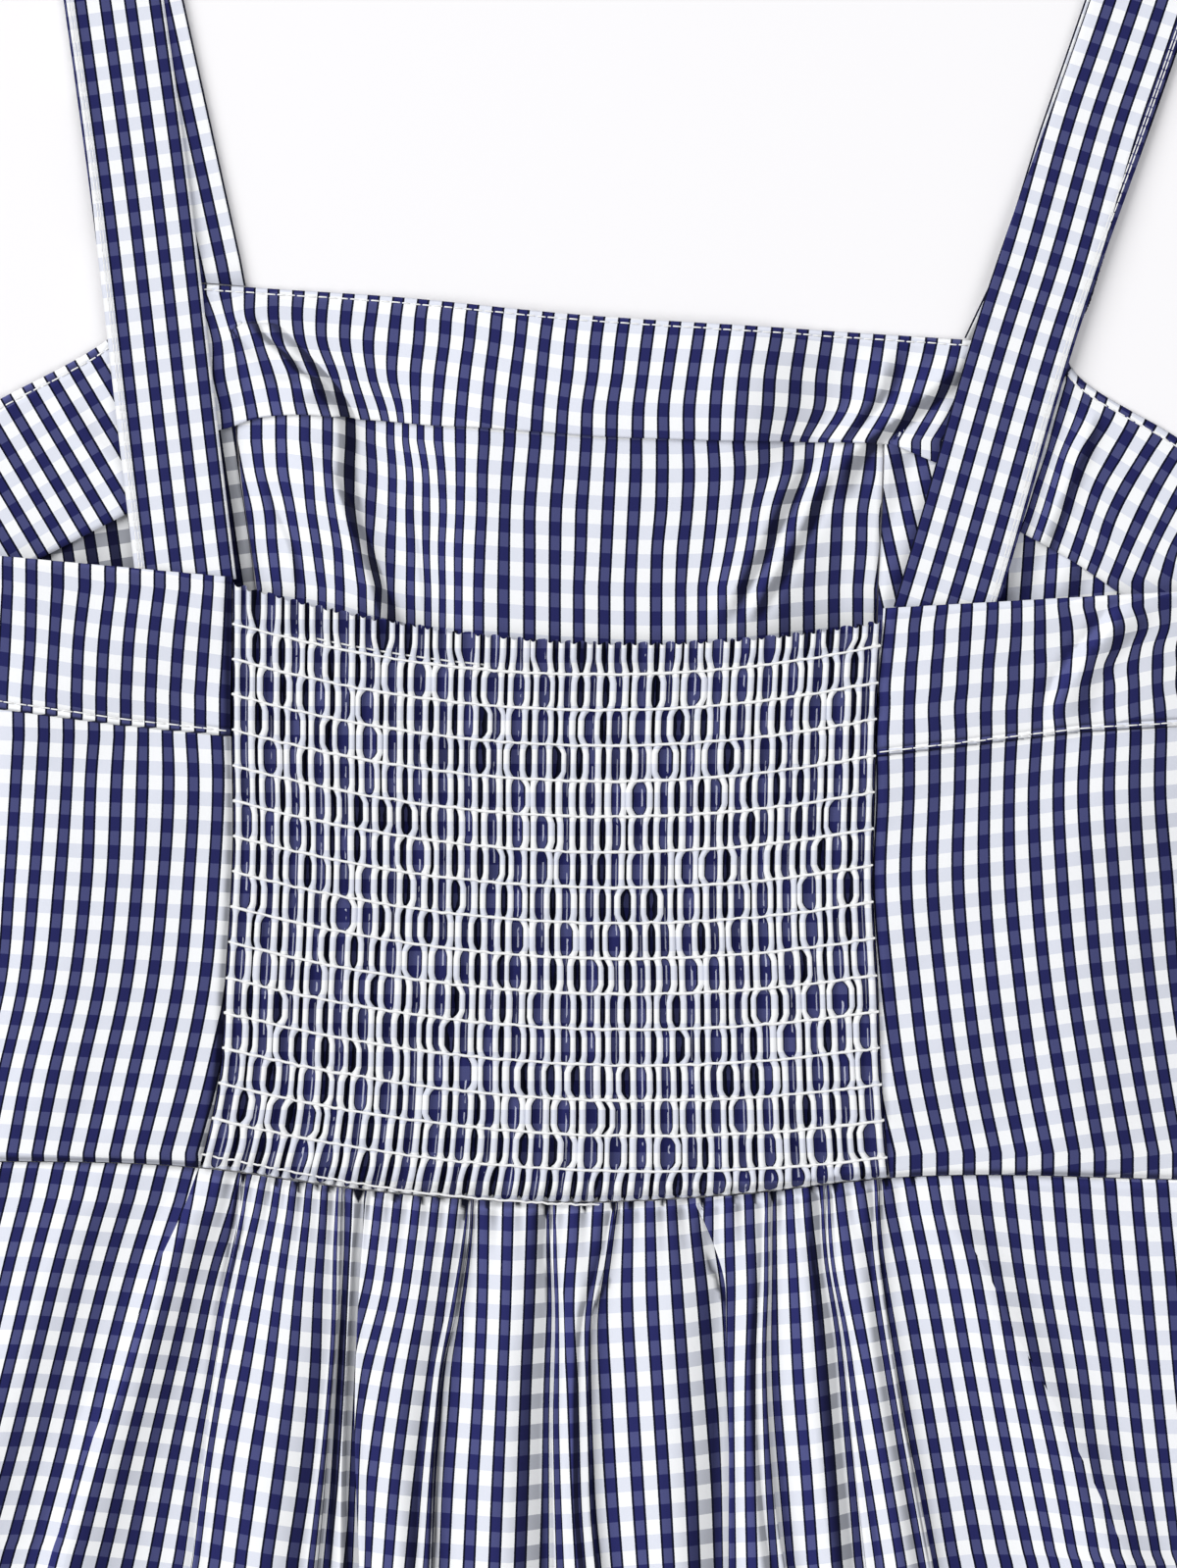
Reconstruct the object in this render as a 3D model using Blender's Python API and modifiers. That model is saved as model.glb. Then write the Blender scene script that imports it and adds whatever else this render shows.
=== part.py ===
"""Camisole sundress in fine gingham, laid flat with its back up.

The front lies on the surface, inside up, and the back lies on it. The waist seam
runs along X, the straps point to +Y and the hem to -Y, and Z is up. Lengths are in
millimetres here and become metres when the vertices are placed. All places are
measured from the middle of the waist seam. The parent empty then moves the dress
so that the origin is under the middle of its outline.
"""

import bmesh
import bpy
import numpy as np

MM = 0.001
DRESS = "camisole_dress"

# Driving sizes
CLOTH = 1.0            # wall that stands for one layer of poplin
STRAP_CLOTH = 1.4      # a strap is a turned tube, so two layers
SEAM_GAP = 0.4         # between two pieces along a seam
LAY_GAP = 0.35         # between two layers that lie on each other
STRAP_TOP = 385.0      # fold of the straps at the shoulder
STRAP_CORNER = 5.8     # a slanting strap's fold has a corner this much higher
HEM_LOW = -690.0       # lowest point of the hem
HEM_RISE = 35.0        # the hem is this much higher at the side seams
HEM_HALF = 378.0       # half of the hem's width
WAIST_LEFT, WAIST_RIGHT = -181.0, 183.0
UNDERARM_LEFT, UNDERARM_RIGHT = (-211.0, 178.0), (222.0, 166.0)
FACING_SHARE = 0.145   # depth of the neckline facing as a share of the front's height
ARMHOLE_FACING = 44.0  # armhole facing, from the edge to its seam
STRAP_WIDTH = 26.6

# Shirring
RIDGES = 50            # gathers across the back panel
SHIRRING_ROWS = 15     # rows of elastic thread above the waist seam
RIDGE_RELIEF = 2.2     # a gather at its fullest, between two rows
PINCH = 0.42           # share of the relief left where the thread holds it


def bend(table, x):
    """Smooth curve through the (x, value) rows of a table, with level-free ends."""
    px, py = np.array(table, float).T
    slope = np.gradient(py, px)
    x = np.clip(x, px[0], px[-1])
    i = np.clip(np.searchsorted(px, x, side="right") - 1, 0, len(px) - 2)
    width = px[i + 1] - px[i]
    t = (x - px[i]) / width
    start = (2 * t**3 - 3 * t**2 + 1) * py[i] + (t**3 - 2 * t**2 + t) * width * slope[i]
    end = (3 * t**2 - 2 * t**3) * py[i + 1] + (t**3 - t**2) * width * slope[i + 1]
    return start + end


def step(x, low, high):
    """0 below low, 1 above high, smooth between."""
    t = np.clip((x - low) / (high - low), 0, 1)
    return t * t * (3 - 2 * t)


def between(a, b, share):
    return a + (b - a) * share


# Outline of the dress. Each row is (x or y, value).
WAIST_SEAM = [(-181, 6), (-98.6, 4), (-50, -2.5), (5, -5.5), (50, -3.2), (90.5, 1.2), (183, 0.5)]
SHIRRED_LEFT = [(2, -99.2), (4, -98.6), (28, -93.2), (55, -91.3), (96, -89.1), (124, -89.4), (167, -89.1)]
SHIRRED_RIGHT = [(0, 90.8), (3, 90.4), (28, 88.3), (55, 87.2), (82, 85.9), (109, 86.4), (136, 87.2), (158, 88.5)]
NECK_EDGE = [(-113.5, 248.0), (-87, 246.0), (-46, 243.2), (0, 238.6), (76, 233.7), (112, 231.4), (139, 229.5)]
ARMHOLE_LEFT = [(178, -211.0), (201, -181), (215, -154), (232.5, -123.0), (240, -116), (248, -113.5)]
ARMHOLE_RIGHT = [(166, 222.0), (185, 197), (204.5, 170.0), (223, 141.5), (229.5, 139.0)]
PRINCESS_LEFT = [(-2, -96.0), (60, -88), (150, -82), (207, -88.5), (248, -88.5)]
PRINCESS_RIGHT = [(-2, 90.0), (60, 86), (158, 87.8), (203, 89.6), (234, 90.0)]


def waist_y(x):
    return bend(WAIST_SEAM, x)


def side_seam_x(underarm, waist_side, share):
    """The bodice's side seam, from the underarm to the waist."""
    return between(underarm[0], waist_side, 0.35 * step(share, 0, 1) + 0.65 * share)


def hem_y(x):
    return HEM_LOW + HEM_RISE * (x / HEM_HALF) ** 2


# How high the layers lie. Each height is that of the layer's underside.

def back_base(y):
    """The back rises in a straight line from the waist to its top edge."""
    return 3.2 + 4.5 * y / 150


def front_rise(x, y):
    """Soft folds in the front's middle panel, seen from inside above the back's edge."""
    crease = bend([(90, -40), (152.5, -47), (181, -57), (192.5, -59.7), (210, -60.5), (239, -84)], y)
    flap = 4.6 * step(x, -88, crease - 8) * (1 - step(x, crease - 1.5, crease + 4.5))
    plateau = 4.8 * step(x, crease + 9, -20) * (1 - step(x, 46, 80))
    along = step(y, 85, 135) * (1 - 0.65 * step(y, 205, 246))
    return (flap + plateau) * along


# Making solids

def new_object(name, mesh_points, grid_shape, colour):
    """A smooth-shaded grid whose vertices are moved to mesh_points, under the dress's empty."""
    rows, columns = grid_shape
    bm = bmesh.new()
    bmesh.ops.create_grid(bm, x_segments=columns - 1, y_segments=rows - 1, size=0.5)
    bm.verts.ensure_lookup_table()
    for vert, place in zip(bm.verts, mesh_points.reshape(-1, 3)):
        vert.co = place * MM
    bmesh.ops.recalc_face_normals(bm, faces=bm.faces)
    mesh = bpy.data.meshes.new(name)
    if sum(face.normal.z for face in bm.faces) < 0:
        bmesh.ops.reverse_faces(bm, faces=bm.faces)
    bm.to_mesh(mesh)
    bm.free()
    mesh.shade_smooth()
    obj = bpy.data.objects.new(name, mesh)
    obj.parent = dress
    dress_parts.objects.link(obj)
    mesh.materials.append(cloth_material(name, colour))
    return obj


def cloth_material(name, colour):
    material = bpy.data.materials.new(name)
    material.use_nodes = True
    shader = material.node_tree.nodes["Principled BSDF"]
    shader.inputs["Base Color"].default_value = (*colour, 1)
    shader.inputs["Roughness"].default_value = 0.85
    shader.inputs["Metallic"].default_value = 0
    return material


def grid_points(across, down, place):
    """Points place(a, b) for a in across and b in down, as an array (rows, columns, 3)."""
    a, b = np.meshgrid(np.array(across, float), np.array(down, float))
    x, y, z = place(a, b)
    return np.stack([x, y, z + 0 * x], axis=-1)


def cloth_panel(name, across, down, place, colour, thick=CLOTH):
    """A panel whose underside is place(a, b), with a wall of even thickness on it."""
    points = grid_points(across, down, place)
    return walled(new_object(name, points, points.shape[:2], colour), thick)


def walled(panel, thick=CLOTH, offset=1):
    """The surface gets a wall, which lies on it, or around it where offset is 0."""
    wall = panel.modifiers.new("Wall", "SOLIDIFY")
    wall.thickness = thick * MM
    wall.offset = offset
    wall.use_even_offset = True
    return panel


NAVY_MIX = (0.45, 0.47, 0.62)     # navy and white checks seen from afar
INSIDE_MIX = (0.42, 0.44, 0.58)
SHIRRED_MIX = (0.40, 0.41, 0.55)


# Back of the bodice

def shirred_line_y(line, u):
    """Height of a row of elastic thread, counted from 0 at the top, at share u of the panel's width."""
    left, middle, right = 153.4 - 9.685 * line, 139.6 - 9.685 * line, 147.4 - 10.02 * line
    return left * (1 - u) * (1 - 2 * u) + middle * 4 * u * (1 - u) + right * u * (2 * u - 1)


def shirred_top_y(u):
    return 164.2 * (1 - u) * (1 - 2 * u) + 148.5 * 4 * u * (1 - u) + 154.0 * u * (2 * u - 1)


def back_shirred():
    """Centre back: fifty gathers held by rows of elastic thread, raised on a plain inside."""
    u = np.linspace(0, 1, 2 * RIDGES + 1)
    crest = (np.arange(len(u)) % 2).astype(float)
    # A line is (height of its points, puff of its gathers)
    lines = [(shirred_top_y(u), 0.75)]
    for row in range(SHIRRING_ROWS):
        lines.append((shirred_line_y(row, u), PINCH))
        if row < SHIRRING_ROWS - 1:
            lines.append((shirred_line_y(row + 0.5, u), 1.0))
    last_x = between(bend(SHIRRED_LEFT, 4), bend(SHIRRED_RIGHT, 2), u)
    bottom = waist_y(last_x) + SEAM_GAP / 2
    lines.append(((shirred_line_y(SHIRRING_ROWS - 1, u) + bottom) / 2, 0.8))
    lines.append((bottom, PINCH))
    rows = []
    for y, puff in lines:
        x = between(bend(SHIRRED_LEFT, y[0]), bend(SHIRRED_RIGHT, y[-1]), u)
        rows.append(np.stack([x, y, back_base(y) + CLOTH + RIDGE_RELIEF * puff * crest], axis=-1))
    points = np.array(rows)
    panel = new_object("back_shirred", points, points.shape[:2], SHIRRED_MIX)
    bm = bmesh.new()
    bm.from_mesh(panel.data)
    rim = [edge for edge in bm.edges if edge.is_boundary]
    skirt = bmesh.ops.extrude_edge_only(bm, edges=rim)["geom"]
    under = [item for item in skirt if isinstance(item, bmesh.types.BMVert)]
    for vert in under:
        vert.co.z = back_base(vert.co.y / MM) * MM
    loose = [item for item in skirt if isinstance(item, bmesh.types.BMEdge) and item.is_boundary]
    bmesh.ops.contextual_create(bm, geom=loose)
    bmesh.ops.recalc_face_normals(bm, faces=bm.faces)
    bm.to_mesh(panel.data)
    bm.free()


def side_drop(share):
    """How much of the back's height is left, from 1 at the shirred panel to 0 at the side seam."""
    return 1 - step(share, 0.45, 1.0)


def back_side(name, seam, top_inner, underarm, waist_side, away):
    """Side back: from the shirred panel's seam to the side seam, turned under at its top edge."""
    def place(a, b):
        top = between(top_inner, underarm[1] - 1, a)
        inner_low = bend(seam, waist_y(0) + 6)
        low_x = between(inner_low, waist_side, a)
        y = between(top, waist_y(low_x) + SEAM_GAP / 2, b)
        inner = bend(seam, y) + away * SEAM_GAP
        outer = side_seam_x(underarm, waist_side, b) - away * 1.5
        x = between(inner, outer, a)
        over_front = CLOTH + LAY_GAP + 0.1
        low = over_front + (CLOTH + LAY_GAP) * step(y, 85, 118)
        z = low + (back_base(y) - low) * side_drop(a)
        return x, y, z
    down = [0, 0.1, 0.23, 0.245, 0.4, 0.6, 0.8, 1]
    return cloth_panel(name, np.linspace(0, 1, 11), down, place, NAVY_MIX)


# Front of the bodice

def front_centre_point(a, b):
    """Underside of the front's middle panel: a goes across it, b from the neckline to the waist."""
    left = bend(PRINCESS_LEFT, between(248, -2, b))
    right = bend(PRINCESS_RIGHT, between(234, -2, b)) - SEAM_GAP
    x = between(left, right, a)
    y = between(bend(NECK_EDGE, x), waist_y(x) + SEAM_GAP / 2, b)
    return x, y, front_rise(x, y)


FRONT_ACROSS = np.linspace(0, 1, 31)
FACING_ROWS = np.linspace(0, FACING_SHARE, 4)
UNDERARM_ROW = 0.4
FRONT_ROWS = np.concatenate([FACING_ROWS, [0.2, 0.25, 0.3, 0.35, UNDERARM_ROW, 0.46, 0.53, 0.6, 0.68, 0.84, 1]])


def front_centre():
    return cloth_panel("front_centre", FRONT_ACROSS, FRONT_ROWS, front_centre_point, INSIDE_MIX)


def neck_facing():
    """Facing along the neckline: the front's own points moved out, and a flat stretch at each end."""
    middle = grid_points(FRONT_ACROSS, FACING_ROWS, front_centre_point)
    way_across = np.gradient(middle, axis=1)
    way_down = np.gradient(middle, axis=0)
    out = np.cross(way_down, way_across)
    out /= np.linalg.norm(out, axis=2, keepdims=True)
    middle = middle + out * (CLOTH + LAY_GAP)

    def flat_end(x, b):
        top = bend(NECK_EDGE, x)
        return x, between(top, waist_y(x), b), 0 * x + CLOTH + LAY_GAP
    left = grid_points([-101, -95, -91], FACING_ROWS, flat_end)
    right = grid_points([93, 101, 109, 118], FACING_ROWS, flat_end)
    points = np.concatenate([left, middle, right], axis=1)
    return walled(new_object("facing_neck", points, points.shape[:2], INSIDE_MIX))


def front_side(name, armhole, corner_x, underarm, waist_side, away):
    """Side front: from the princess seam to the armhole's edge and the side seam."""
    def place(a, b):
        seam_x, seam_y, seam_z = front_centre_point(0.5 + 0.5 * away, b)
        in_armhole = np.clip(b / UNDERARM_ROW, 0, 1)
        below = np.clip((b - UNDERARM_ROW) / (1 - UNDERARM_ROW), 0, 1)
        armhole_y = between(bend(NECK_EDGE, corner_x), underarm[1], in_armhole)
        side_y = between(underarm[1], waist_y(waist_side) + SEAM_GAP / 2, below)
        edge_y = np.where(b > UNDERARM_ROW, side_y, armhole_y)
        edge_x = np.where(b > UNDERARM_ROW, side_seam_x(underarm, waist_side, below), bend(armhole, edge_y))
        x = between(seam_x + away * SEAM_GAP, edge_x, a)
        y = between(seam_y, edge_y, a)
        waist_bow = waist_y(x) - between(waist_y(seam_x), waist_y(waist_side), a)
        return x, y + waist_bow * step(b, 0.6, 1), 0 * a
    return cloth_panel(name, np.linspace(0, 1, 9), FRONT_ROWS, place, INSIDE_MIX)


def armhole_facing(name, armhole, start_y, underarm, away):
    """Facing along an armhole, from under the strap to the side seam."""
    run = np.array([abs(underarm[0] - bend(armhole, start_y)), start_y - underarm[1]])
    in_x, in_y = np.array([-away * run[1], -run[0]]) / np.hypot(*run) * ARMHOLE_FACING

    def place(a, b):
        edge_y = between(start_y, underarm[1] + 2, a)
        return bend(armhole, edge_y) + in_x * b, edge_y + in_y * b, 0 * a + CLOTH + LAY_GAP
    return cloth_panel(name, np.linspace(0, 1, 9), [0, 0.5, 1], place, INSIDE_MIX)


# Straps

def strap(name, front_foot, shoulder, back_foot):
    """One strap: up from the front's edge along the surface, over at the shoulder and down to the back."""
    front = np.array([*front_foot, 0.0])
    fold = np.array([*shoulder, 0.0])
    back = np.array([*back_foot, 0.0])
    turn_radius = (STRAP_CLOTH + LAY_GAP) / 2
    path = [between(front, fold, share) for share in (0, 0.25, 0.5, 0.75, 0.97)]
    for angle in np.linspace(0, np.pi, 7):
        out = turn_radius * np.sin(angle)
        path.append(fold + np.array([0, out, turn_radius * (1 - np.cos(angle))]))
    tucked = back_base(back_foot[1]) - LAY_GAP - STRAP_CLOTH - 0.2
    # A row is (share of the way from the shoulder to the back, height of the underside)
    lie = [(0, 2 * turn_radius), (0.35, 2 * turn_radius), (0.56, 2.9), (0.7, 3.1), (0.86, 4.2), (1, tucked)]
    for share in (0.03, 0.2, 0.35, 0.45, 0.56, 0.63, 0.7, 0.78, 0.86, 0.93, 1):
        spot = between(fold, back, share)
        spot[2] = bend(lie, share)
        path.append(spot)
    path = np.array(path)
    path[:, 2] += STRAP_CLOTH / 2
    front_way = (fold - front)[:2] / np.hypot(*(fold - front)[:2])
    back_way = (fold - back)[:2] / np.hypot(*(fold - back)[:2])
    turning = np.clip((np.arange(len(path)) - 4) / 8, 0, 1)[:, None]
    way = between(front_way, back_way, turning)
    way /= np.hypot(way[:, 0], way[:, 1])[:, None]
    across = np.stack([way[:, 1], -way[:, 0], 0 * way[:, 0]], axis=1)
    foot_edge = bend(NECK_EDGE, front[0] + 5) - bend(NECK_EDGE, front[0] - 5)
    across[0] = np.array([1, foot_edge / 10, 0]) / abs(front_way[1])
    half = STRAP_WIDTH / 2
    points = np.stack([path + across * half * side for side in (-1, 0, 1)], axis=1)
    return walled(new_object(name, points, points.shape[:2], NAVY_MIX), STRAP_CLOTH, 0)


# Skirt

SKIRT_LEVELS = (0.0, -40.0, -106.0, -690.0)   # heights at which a fold's place is given
# A row is (x at the four levels, +1 where the cloth is higher on the right and -1 on the left)
SKIRT_FOLDS = [
    ((-87.2, -92.3, -100.4, -195), 1),
    ((-59.5, -62.6, -67.5, -128), -1),
    ((-54.3, -55.9, -56.0, -96), 1),
    ((-25.1, -31.9, -36.2, -60), -1),
    ((-1.9, -1.4, -1.6, -14), 1),
    ((15.0, 9.4, 11.6, 24), -1),
    ((41.0, 45.6, 46.4, 66), 1),
    ((57.0, 57.0, 62.4, 100), -1),
    ((73.2, 77.8, 82.0, 150), 1),
    ((87.8, 91.5, 99.4, 198), -1),
]
SOFT_RIDGE_LEFT = (-97.5, -114.8, -143.9, -300)
SOFT_RIDGE_RIGHT = (109.0, 124.0, 154.0, 300)
FOLD_HEIGHT = (1.9, 4.2, 5.6, 9.5)
RISER_RUN = (1.6, 3.2, 3.8, 9.0)      # how far a fold's side runs from its foot to its top


def down_skirt(values, y):
    """A value given at the four levels of the skirt, at height y."""
    return bend(list(zip(SKIRT_LEVELS[::-1], values[::-1])), y)


def skirt_edges(b, inset=0.0):
    return between(WAIST_LEFT, -HEM_HALF, b) + inset, between(WAIST_RIGHT, HEM_HALF, b) - inset


def skirt_back():
    """Back skirt: gathered under the shirring into raised folds that fan out to the hem."""
    down = np.array([0, 0.015, 0.04, 0.075, 0.115, 0.155, 0.23, 0.33, 0.44, 0.56, 0.68, 0.8, 0.9, 1])
    rows = []
    for b in down:
        level = between(0.0, HEM_LOW, b)
        left, right = skirt_edges(b, 1.5)
        height = down_skirt(FOLD_HEIGHT, level)
        run = down_skirt(RISER_RUN, level)
        ridge_left = down_skirt(SOFT_RIDGE_LEFT, level)
        ridge_right = down_skirt(SOFT_RIDGE_RIGHT, level)
        first = down_skirt(SKIRT_FOLDS[0][0], level)
        last = down_skirt(SKIRT_FOLDS[-1][0], level)
        # A point across the skirt is (x, height as a share of the folds' height)
        profile = [(left, 0.1), (between(left, ridge_left, 0.2), 0.35), (between(left, ridge_left, 0.6), 0.32)]
        profile += [(ridge_left, 0.75), (between(ridge_left, first - run / 2, 0.55), 0.2)]
        for number, (places, side) in enumerate(SKIRT_FOLDS):
            x = down_skirt(places, level)
            low, high = (x - run / 2, x + run / 2) if side > 0 else (x + run / 2, x - run / 2)
            ends = [(low, 0.06), (high, 0.94)]
            profile += ends if side > 0 else ends[::-1]
            if number < len(SKIRT_FOLDS) - 1:
                following = down_skirt(SKIRT_FOLDS[number + 1][0], level)
                profile.append((between(x, following, 0.5), 1.05 if side > 0 else 0.0))
        profile += [(between(last + run / 2, ridge_right, 0.5), 0.2), (ridge_right, 0.7)]
        profile += [(between(ridge_right, right, 0.35), 0.3), (between(ridge_right, right, 0.8), 0.3)]
        profile.append((right, 0.1))
        x, share = np.array(profile).T
        y = between(waist_y(x) - SEAM_GAP / 2, hem_y(x) + 2.5, b)
        z = CLOTH + LAY_GAP + 0.25 + height * share
        rows.append(np.stack([x, y, z], axis=-1))
    points = np.array(rows)
    return walled(new_object("skirt_back", points, points.shape[:2], NAVY_MIX))


def skirt_front():
    def place(a, b):
        left, right = skirt_edges(b)
        x = between(left, right, a)
        return x, between(waist_y(x) - SEAM_GAP / 2, hem_y(x), b), 0 * a
    return cloth_panel("skirt_front", np.linspace(0, 1, 33), [0, 0.35, 0.7, 1], place, NAVY_MIX)


# The whole dress

for thing in list(bpy.data.objects):
    bpy.data.objects.remove(thing)
dress_parts = bpy.data.collections.new(DRESS)
bpy.context.scene.collection.children.link(dress_parts)
dress = bpy.data.objects.new(DRESS, None)
dress.location = (0, -(STRAP_TOP + STRAP_CORNER + HEM_LOW) / 2 * MM, 0)
dress_parts.objects.link(dress)

skirt_front()
skirt_back()
front_centre()
front_side("front_side_left", ARMHOLE_LEFT, -113.5, UNDERARM_LEFT, WAIST_LEFT, -1)
front_side("front_side_right", ARMHOLE_RIGHT, 139.0, UNDERARM_RIGHT, WAIST_RIGHT, 1)
neck_facing()
back_shirred()
back_side("back_side_left", SHIRRED_LEFT, 166.0, UNDERARM_LEFT, WAIST_LEFT, -1)
back_side("back_side_right", SHIRRED_RIGHT, 157.5, UNDERARM_RIGHT, WAIST_RIGHT, 1)
armhole_facing("facing_armhole_left", ARMHOLE_LEFT, 232.5, UNDERARM_LEFT, -1)
armhole_facing("facing_armhole_right", ARMHOLE_RIGHT, 224.0, UNDERARM_RIGHT, 1)
strap("strap_left", (-100.2, 247.6), (-130.5, STRAP_TOP), (-102.0, 164.0))
strap("strap_right", (126.0, 231.2), (180.0, STRAP_TOP), (105.0, 154.0))
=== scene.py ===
"""Looks of the camisole sundress that lies flat with its back up.

Lengths are in millimetres, measured from the middle of the waist seam like the part's own
sizes: X to the right, Y towards the straps, Z up. PHOTO_... tables hold places in the
photograph's 1200 x 1599 pixels, and at() turns them into millimetres.
"""
import math

import bpy
import numpy as np
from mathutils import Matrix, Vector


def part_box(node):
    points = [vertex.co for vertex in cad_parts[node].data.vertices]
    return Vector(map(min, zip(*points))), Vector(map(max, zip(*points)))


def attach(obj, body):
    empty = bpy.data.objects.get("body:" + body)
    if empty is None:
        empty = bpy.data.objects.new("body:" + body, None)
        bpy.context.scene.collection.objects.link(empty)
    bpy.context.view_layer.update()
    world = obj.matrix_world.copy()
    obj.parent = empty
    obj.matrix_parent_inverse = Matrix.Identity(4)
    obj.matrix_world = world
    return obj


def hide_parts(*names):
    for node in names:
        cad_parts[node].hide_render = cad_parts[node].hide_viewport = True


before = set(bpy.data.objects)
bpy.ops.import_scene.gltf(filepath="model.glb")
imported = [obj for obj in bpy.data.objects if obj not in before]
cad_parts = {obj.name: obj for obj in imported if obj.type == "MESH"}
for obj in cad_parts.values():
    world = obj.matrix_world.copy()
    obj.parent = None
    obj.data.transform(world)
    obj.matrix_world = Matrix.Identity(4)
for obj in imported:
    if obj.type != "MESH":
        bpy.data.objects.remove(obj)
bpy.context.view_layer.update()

MM = 0.001
PIXEL = 0.27                 # millimetres of the dress in a pixel of the photograph
PHOTO_WAIST = (570, 1205)    # pixel of the middle of the waist seam
PHOTO_SIZE = (1200, 1599)

# Driving sizes, as in the part
CLOTH = 1.0
LAY_GAP = 0.35
SEAM_GAP = 0.4
HEM_LOW = -690.0
HEM_RISE = 35.0
HEM_HALF = 378.0
WAIST_LEFT, WAIST_RIGHT = -181.0, 183.0
UNDERARM_LEFT, UNDERARM_RIGHT = (-211.0, 178.0), (222.0, 166.0)
ARMHOLE_FACING = 44.0
FACING_TOP_LEFT, FACING_TOP_RIGHT = 232.5, 224.0        # where an armhole's facing starts
NECK_LEFT, NECK_RIGHT = -113.5, 139.0
BACK_TOP_LEFT, BACK_TOP_RIGHT = 166.0, 157.5            # where a side back meets the shirred panel
STRAP_WIDTH = 27.0
STRAP_THICK = 1.4

# Cloth
CHECK = 7.0                  # one repeat of the check across the cloth
CHECK_LONG = 7.9             # and along it
POPLIN = 0.45                # thickness that the cloth shows
LIFT = 0.3                   # a thin cloth's underside above that of the solid's wall

# World height of the waist seam's middle: the hem's lowest point is the same in both frames
SHIFT_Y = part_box("skirt_front")[0][1] / MM - HEM_LOW


def at(px, py):
    """A pixel of the photograph as x and y in millimetres from the waist seam's middle."""
    return (np.asarray(px) - PHOTO_WAIST[0]) * PIXEL, (PHOTO_WAIST[1] - np.asarray(py)) * PIXEL


def pixel(x, y):
    return x / PIXEL + PHOTO_WAIST[0], PHOTO_WAIST[1] - y / PIXEL


def between(a, b, share):
    return a + (b - a) * share


def step(x, low, high):
    """0 below low, 1 above high, smooth between."""
    t = np.clip((x - low) / (high - low), 0, 1)
    return t * t * (3 - 2 * t)


def bell(x, middle, width):
    return np.exp(-(((x - middle) / width) ** 2))


def bend(table, x):
    """Smooth curve through the (x, value) rows of a table."""
    px, py = np.array(table, float).T
    slope = np.gradient(py, px)
    x = np.clip(x, px[0], px[-1])
    i = np.clip(np.searchsorted(px, x, side="right") - 1, 0, len(px) - 2)
    width = px[i + 1] - px[i]
    t = (x - px[i]) / width
    start = (2 * t**3 - 3 * t**2 + 1) * py[i] + (t**3 - 2 * t**2 + t) * width * slope[i]
    end = (3 * t**2 - 2 * t**3) * py[i + 1] + (t**3 - t**2) * width * slope[i + 1]
    return start + end


def stripe_number(table, numbers, x, y):
    """Cloth coordinate across the check at (x, y): the table has a row (photo y, photo x of each
    numbered navy stripe) for some levels, and the stripes run smoothly between them."""
    px, py = pixel(x, y)
    rows = np.array(table, float)
    lines = [bend(list(zip(rows[:, 0], rows[:, k + 1])), py) for k in range(len(numbers))]
    lines = np.stack(lines, axis=-1)
    numbers = np.array(numbers, float)
    k = np.clip((lines <= px[..., None]).sum(axis=-1) - 1, 0, len(numbers) - 2)
    low = np.take_along_axis(lines, k[..., None], -1)[..., 0]
    high = np.take_along_axis(lines, k[..., None] + 1, -1)[..., 0]
    return numbers[k] + (px - low) / (high - low) * (numbers[k + 1] - numbers[k])


def wander(points, seed, size):
    """Smooth random values, size rows by size columns, at points given as shares of both sides."""
    grid = np.random.default_rng(seed).uniform(-1, 1, (size[0] + 3, size[1] + 3))
    a = np.clip(points[0], 0, 1) * size[0] + 0.5
    b = np.clip(points[1], 0, 1) * size[1] + 0.5
    i, j = a.astype(int), b.astype(int)
    s, t = step(a - i, 0, 1), step(b - j, 0, 1)
    top = between(grid[i, j], grid[i, j + 1], t)
    return between(top, between(grid[i + 1, j], grid[i + 1, j + 1], t), s)


# Outlines, as in the part. A row is (x or y, value).
WAIST_SEAM = [(-181, 6), (-98.6, 4), (-50, -2.5), (5, -5.5), (50, -3.2), (90.5, 1.2), (183, 0.5)]
SHIRRED_LEFT = [(2, -99.2), (4, -98.6), (28, -93.2), (55, -91.3), (96, -89.1), (124, -89.4), (167, -89.1)]
SHIRRED_RIGHT = [(0, 90.8), (3, 90.4), (28, 88.3), (55, 87.2), (82, 85.9), (109, 86.4), (136, 87.2),
                 (158, 88.5)]
NECK_EDGE = [(-113.5, 248.0), (-87, 246.0), (-46, 243.2), (0, 238.6), (76, 233.7), (112, 231.4), (139, 229.5)]
ARMHOLE_LEFT = [(178, -211.0), (201, -181), (215, -154), (232.5, -123.0), (240, -116), (248, -113.5)]
ARMHOLE_RIGHT = [(166, 222.0), (185, 197), (204.5, 170.0), (223, 141.5), (229.5, 139.0)]
PRINCESS_LEFT = [(-2, -96.0), (60, -88), (150, -82), (207, -88.5), (248, -88.5)]
PRINCESS_RIGHT = [(-2, 90.0), (60, 86), (158, 87.8), (203, 89.6), (234, 90.0)]


def waist_y(x):
    return bend(WAIST_SEAM, x)


def hem_y(x):
    return HEM_LOW + HEM_RISE * (x / HEM_HALF) ** 2


def side_seam_x(underarm, waist_side, share):
    return between(underarm[0], waist_side, 0.35 * step(share, 0, 1) + 0.65 * share)


def back_base(y):
    """The back rises in a straight line from the waist to its top edge."""
    return 3.2 + 4.5 * y / 150


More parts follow.
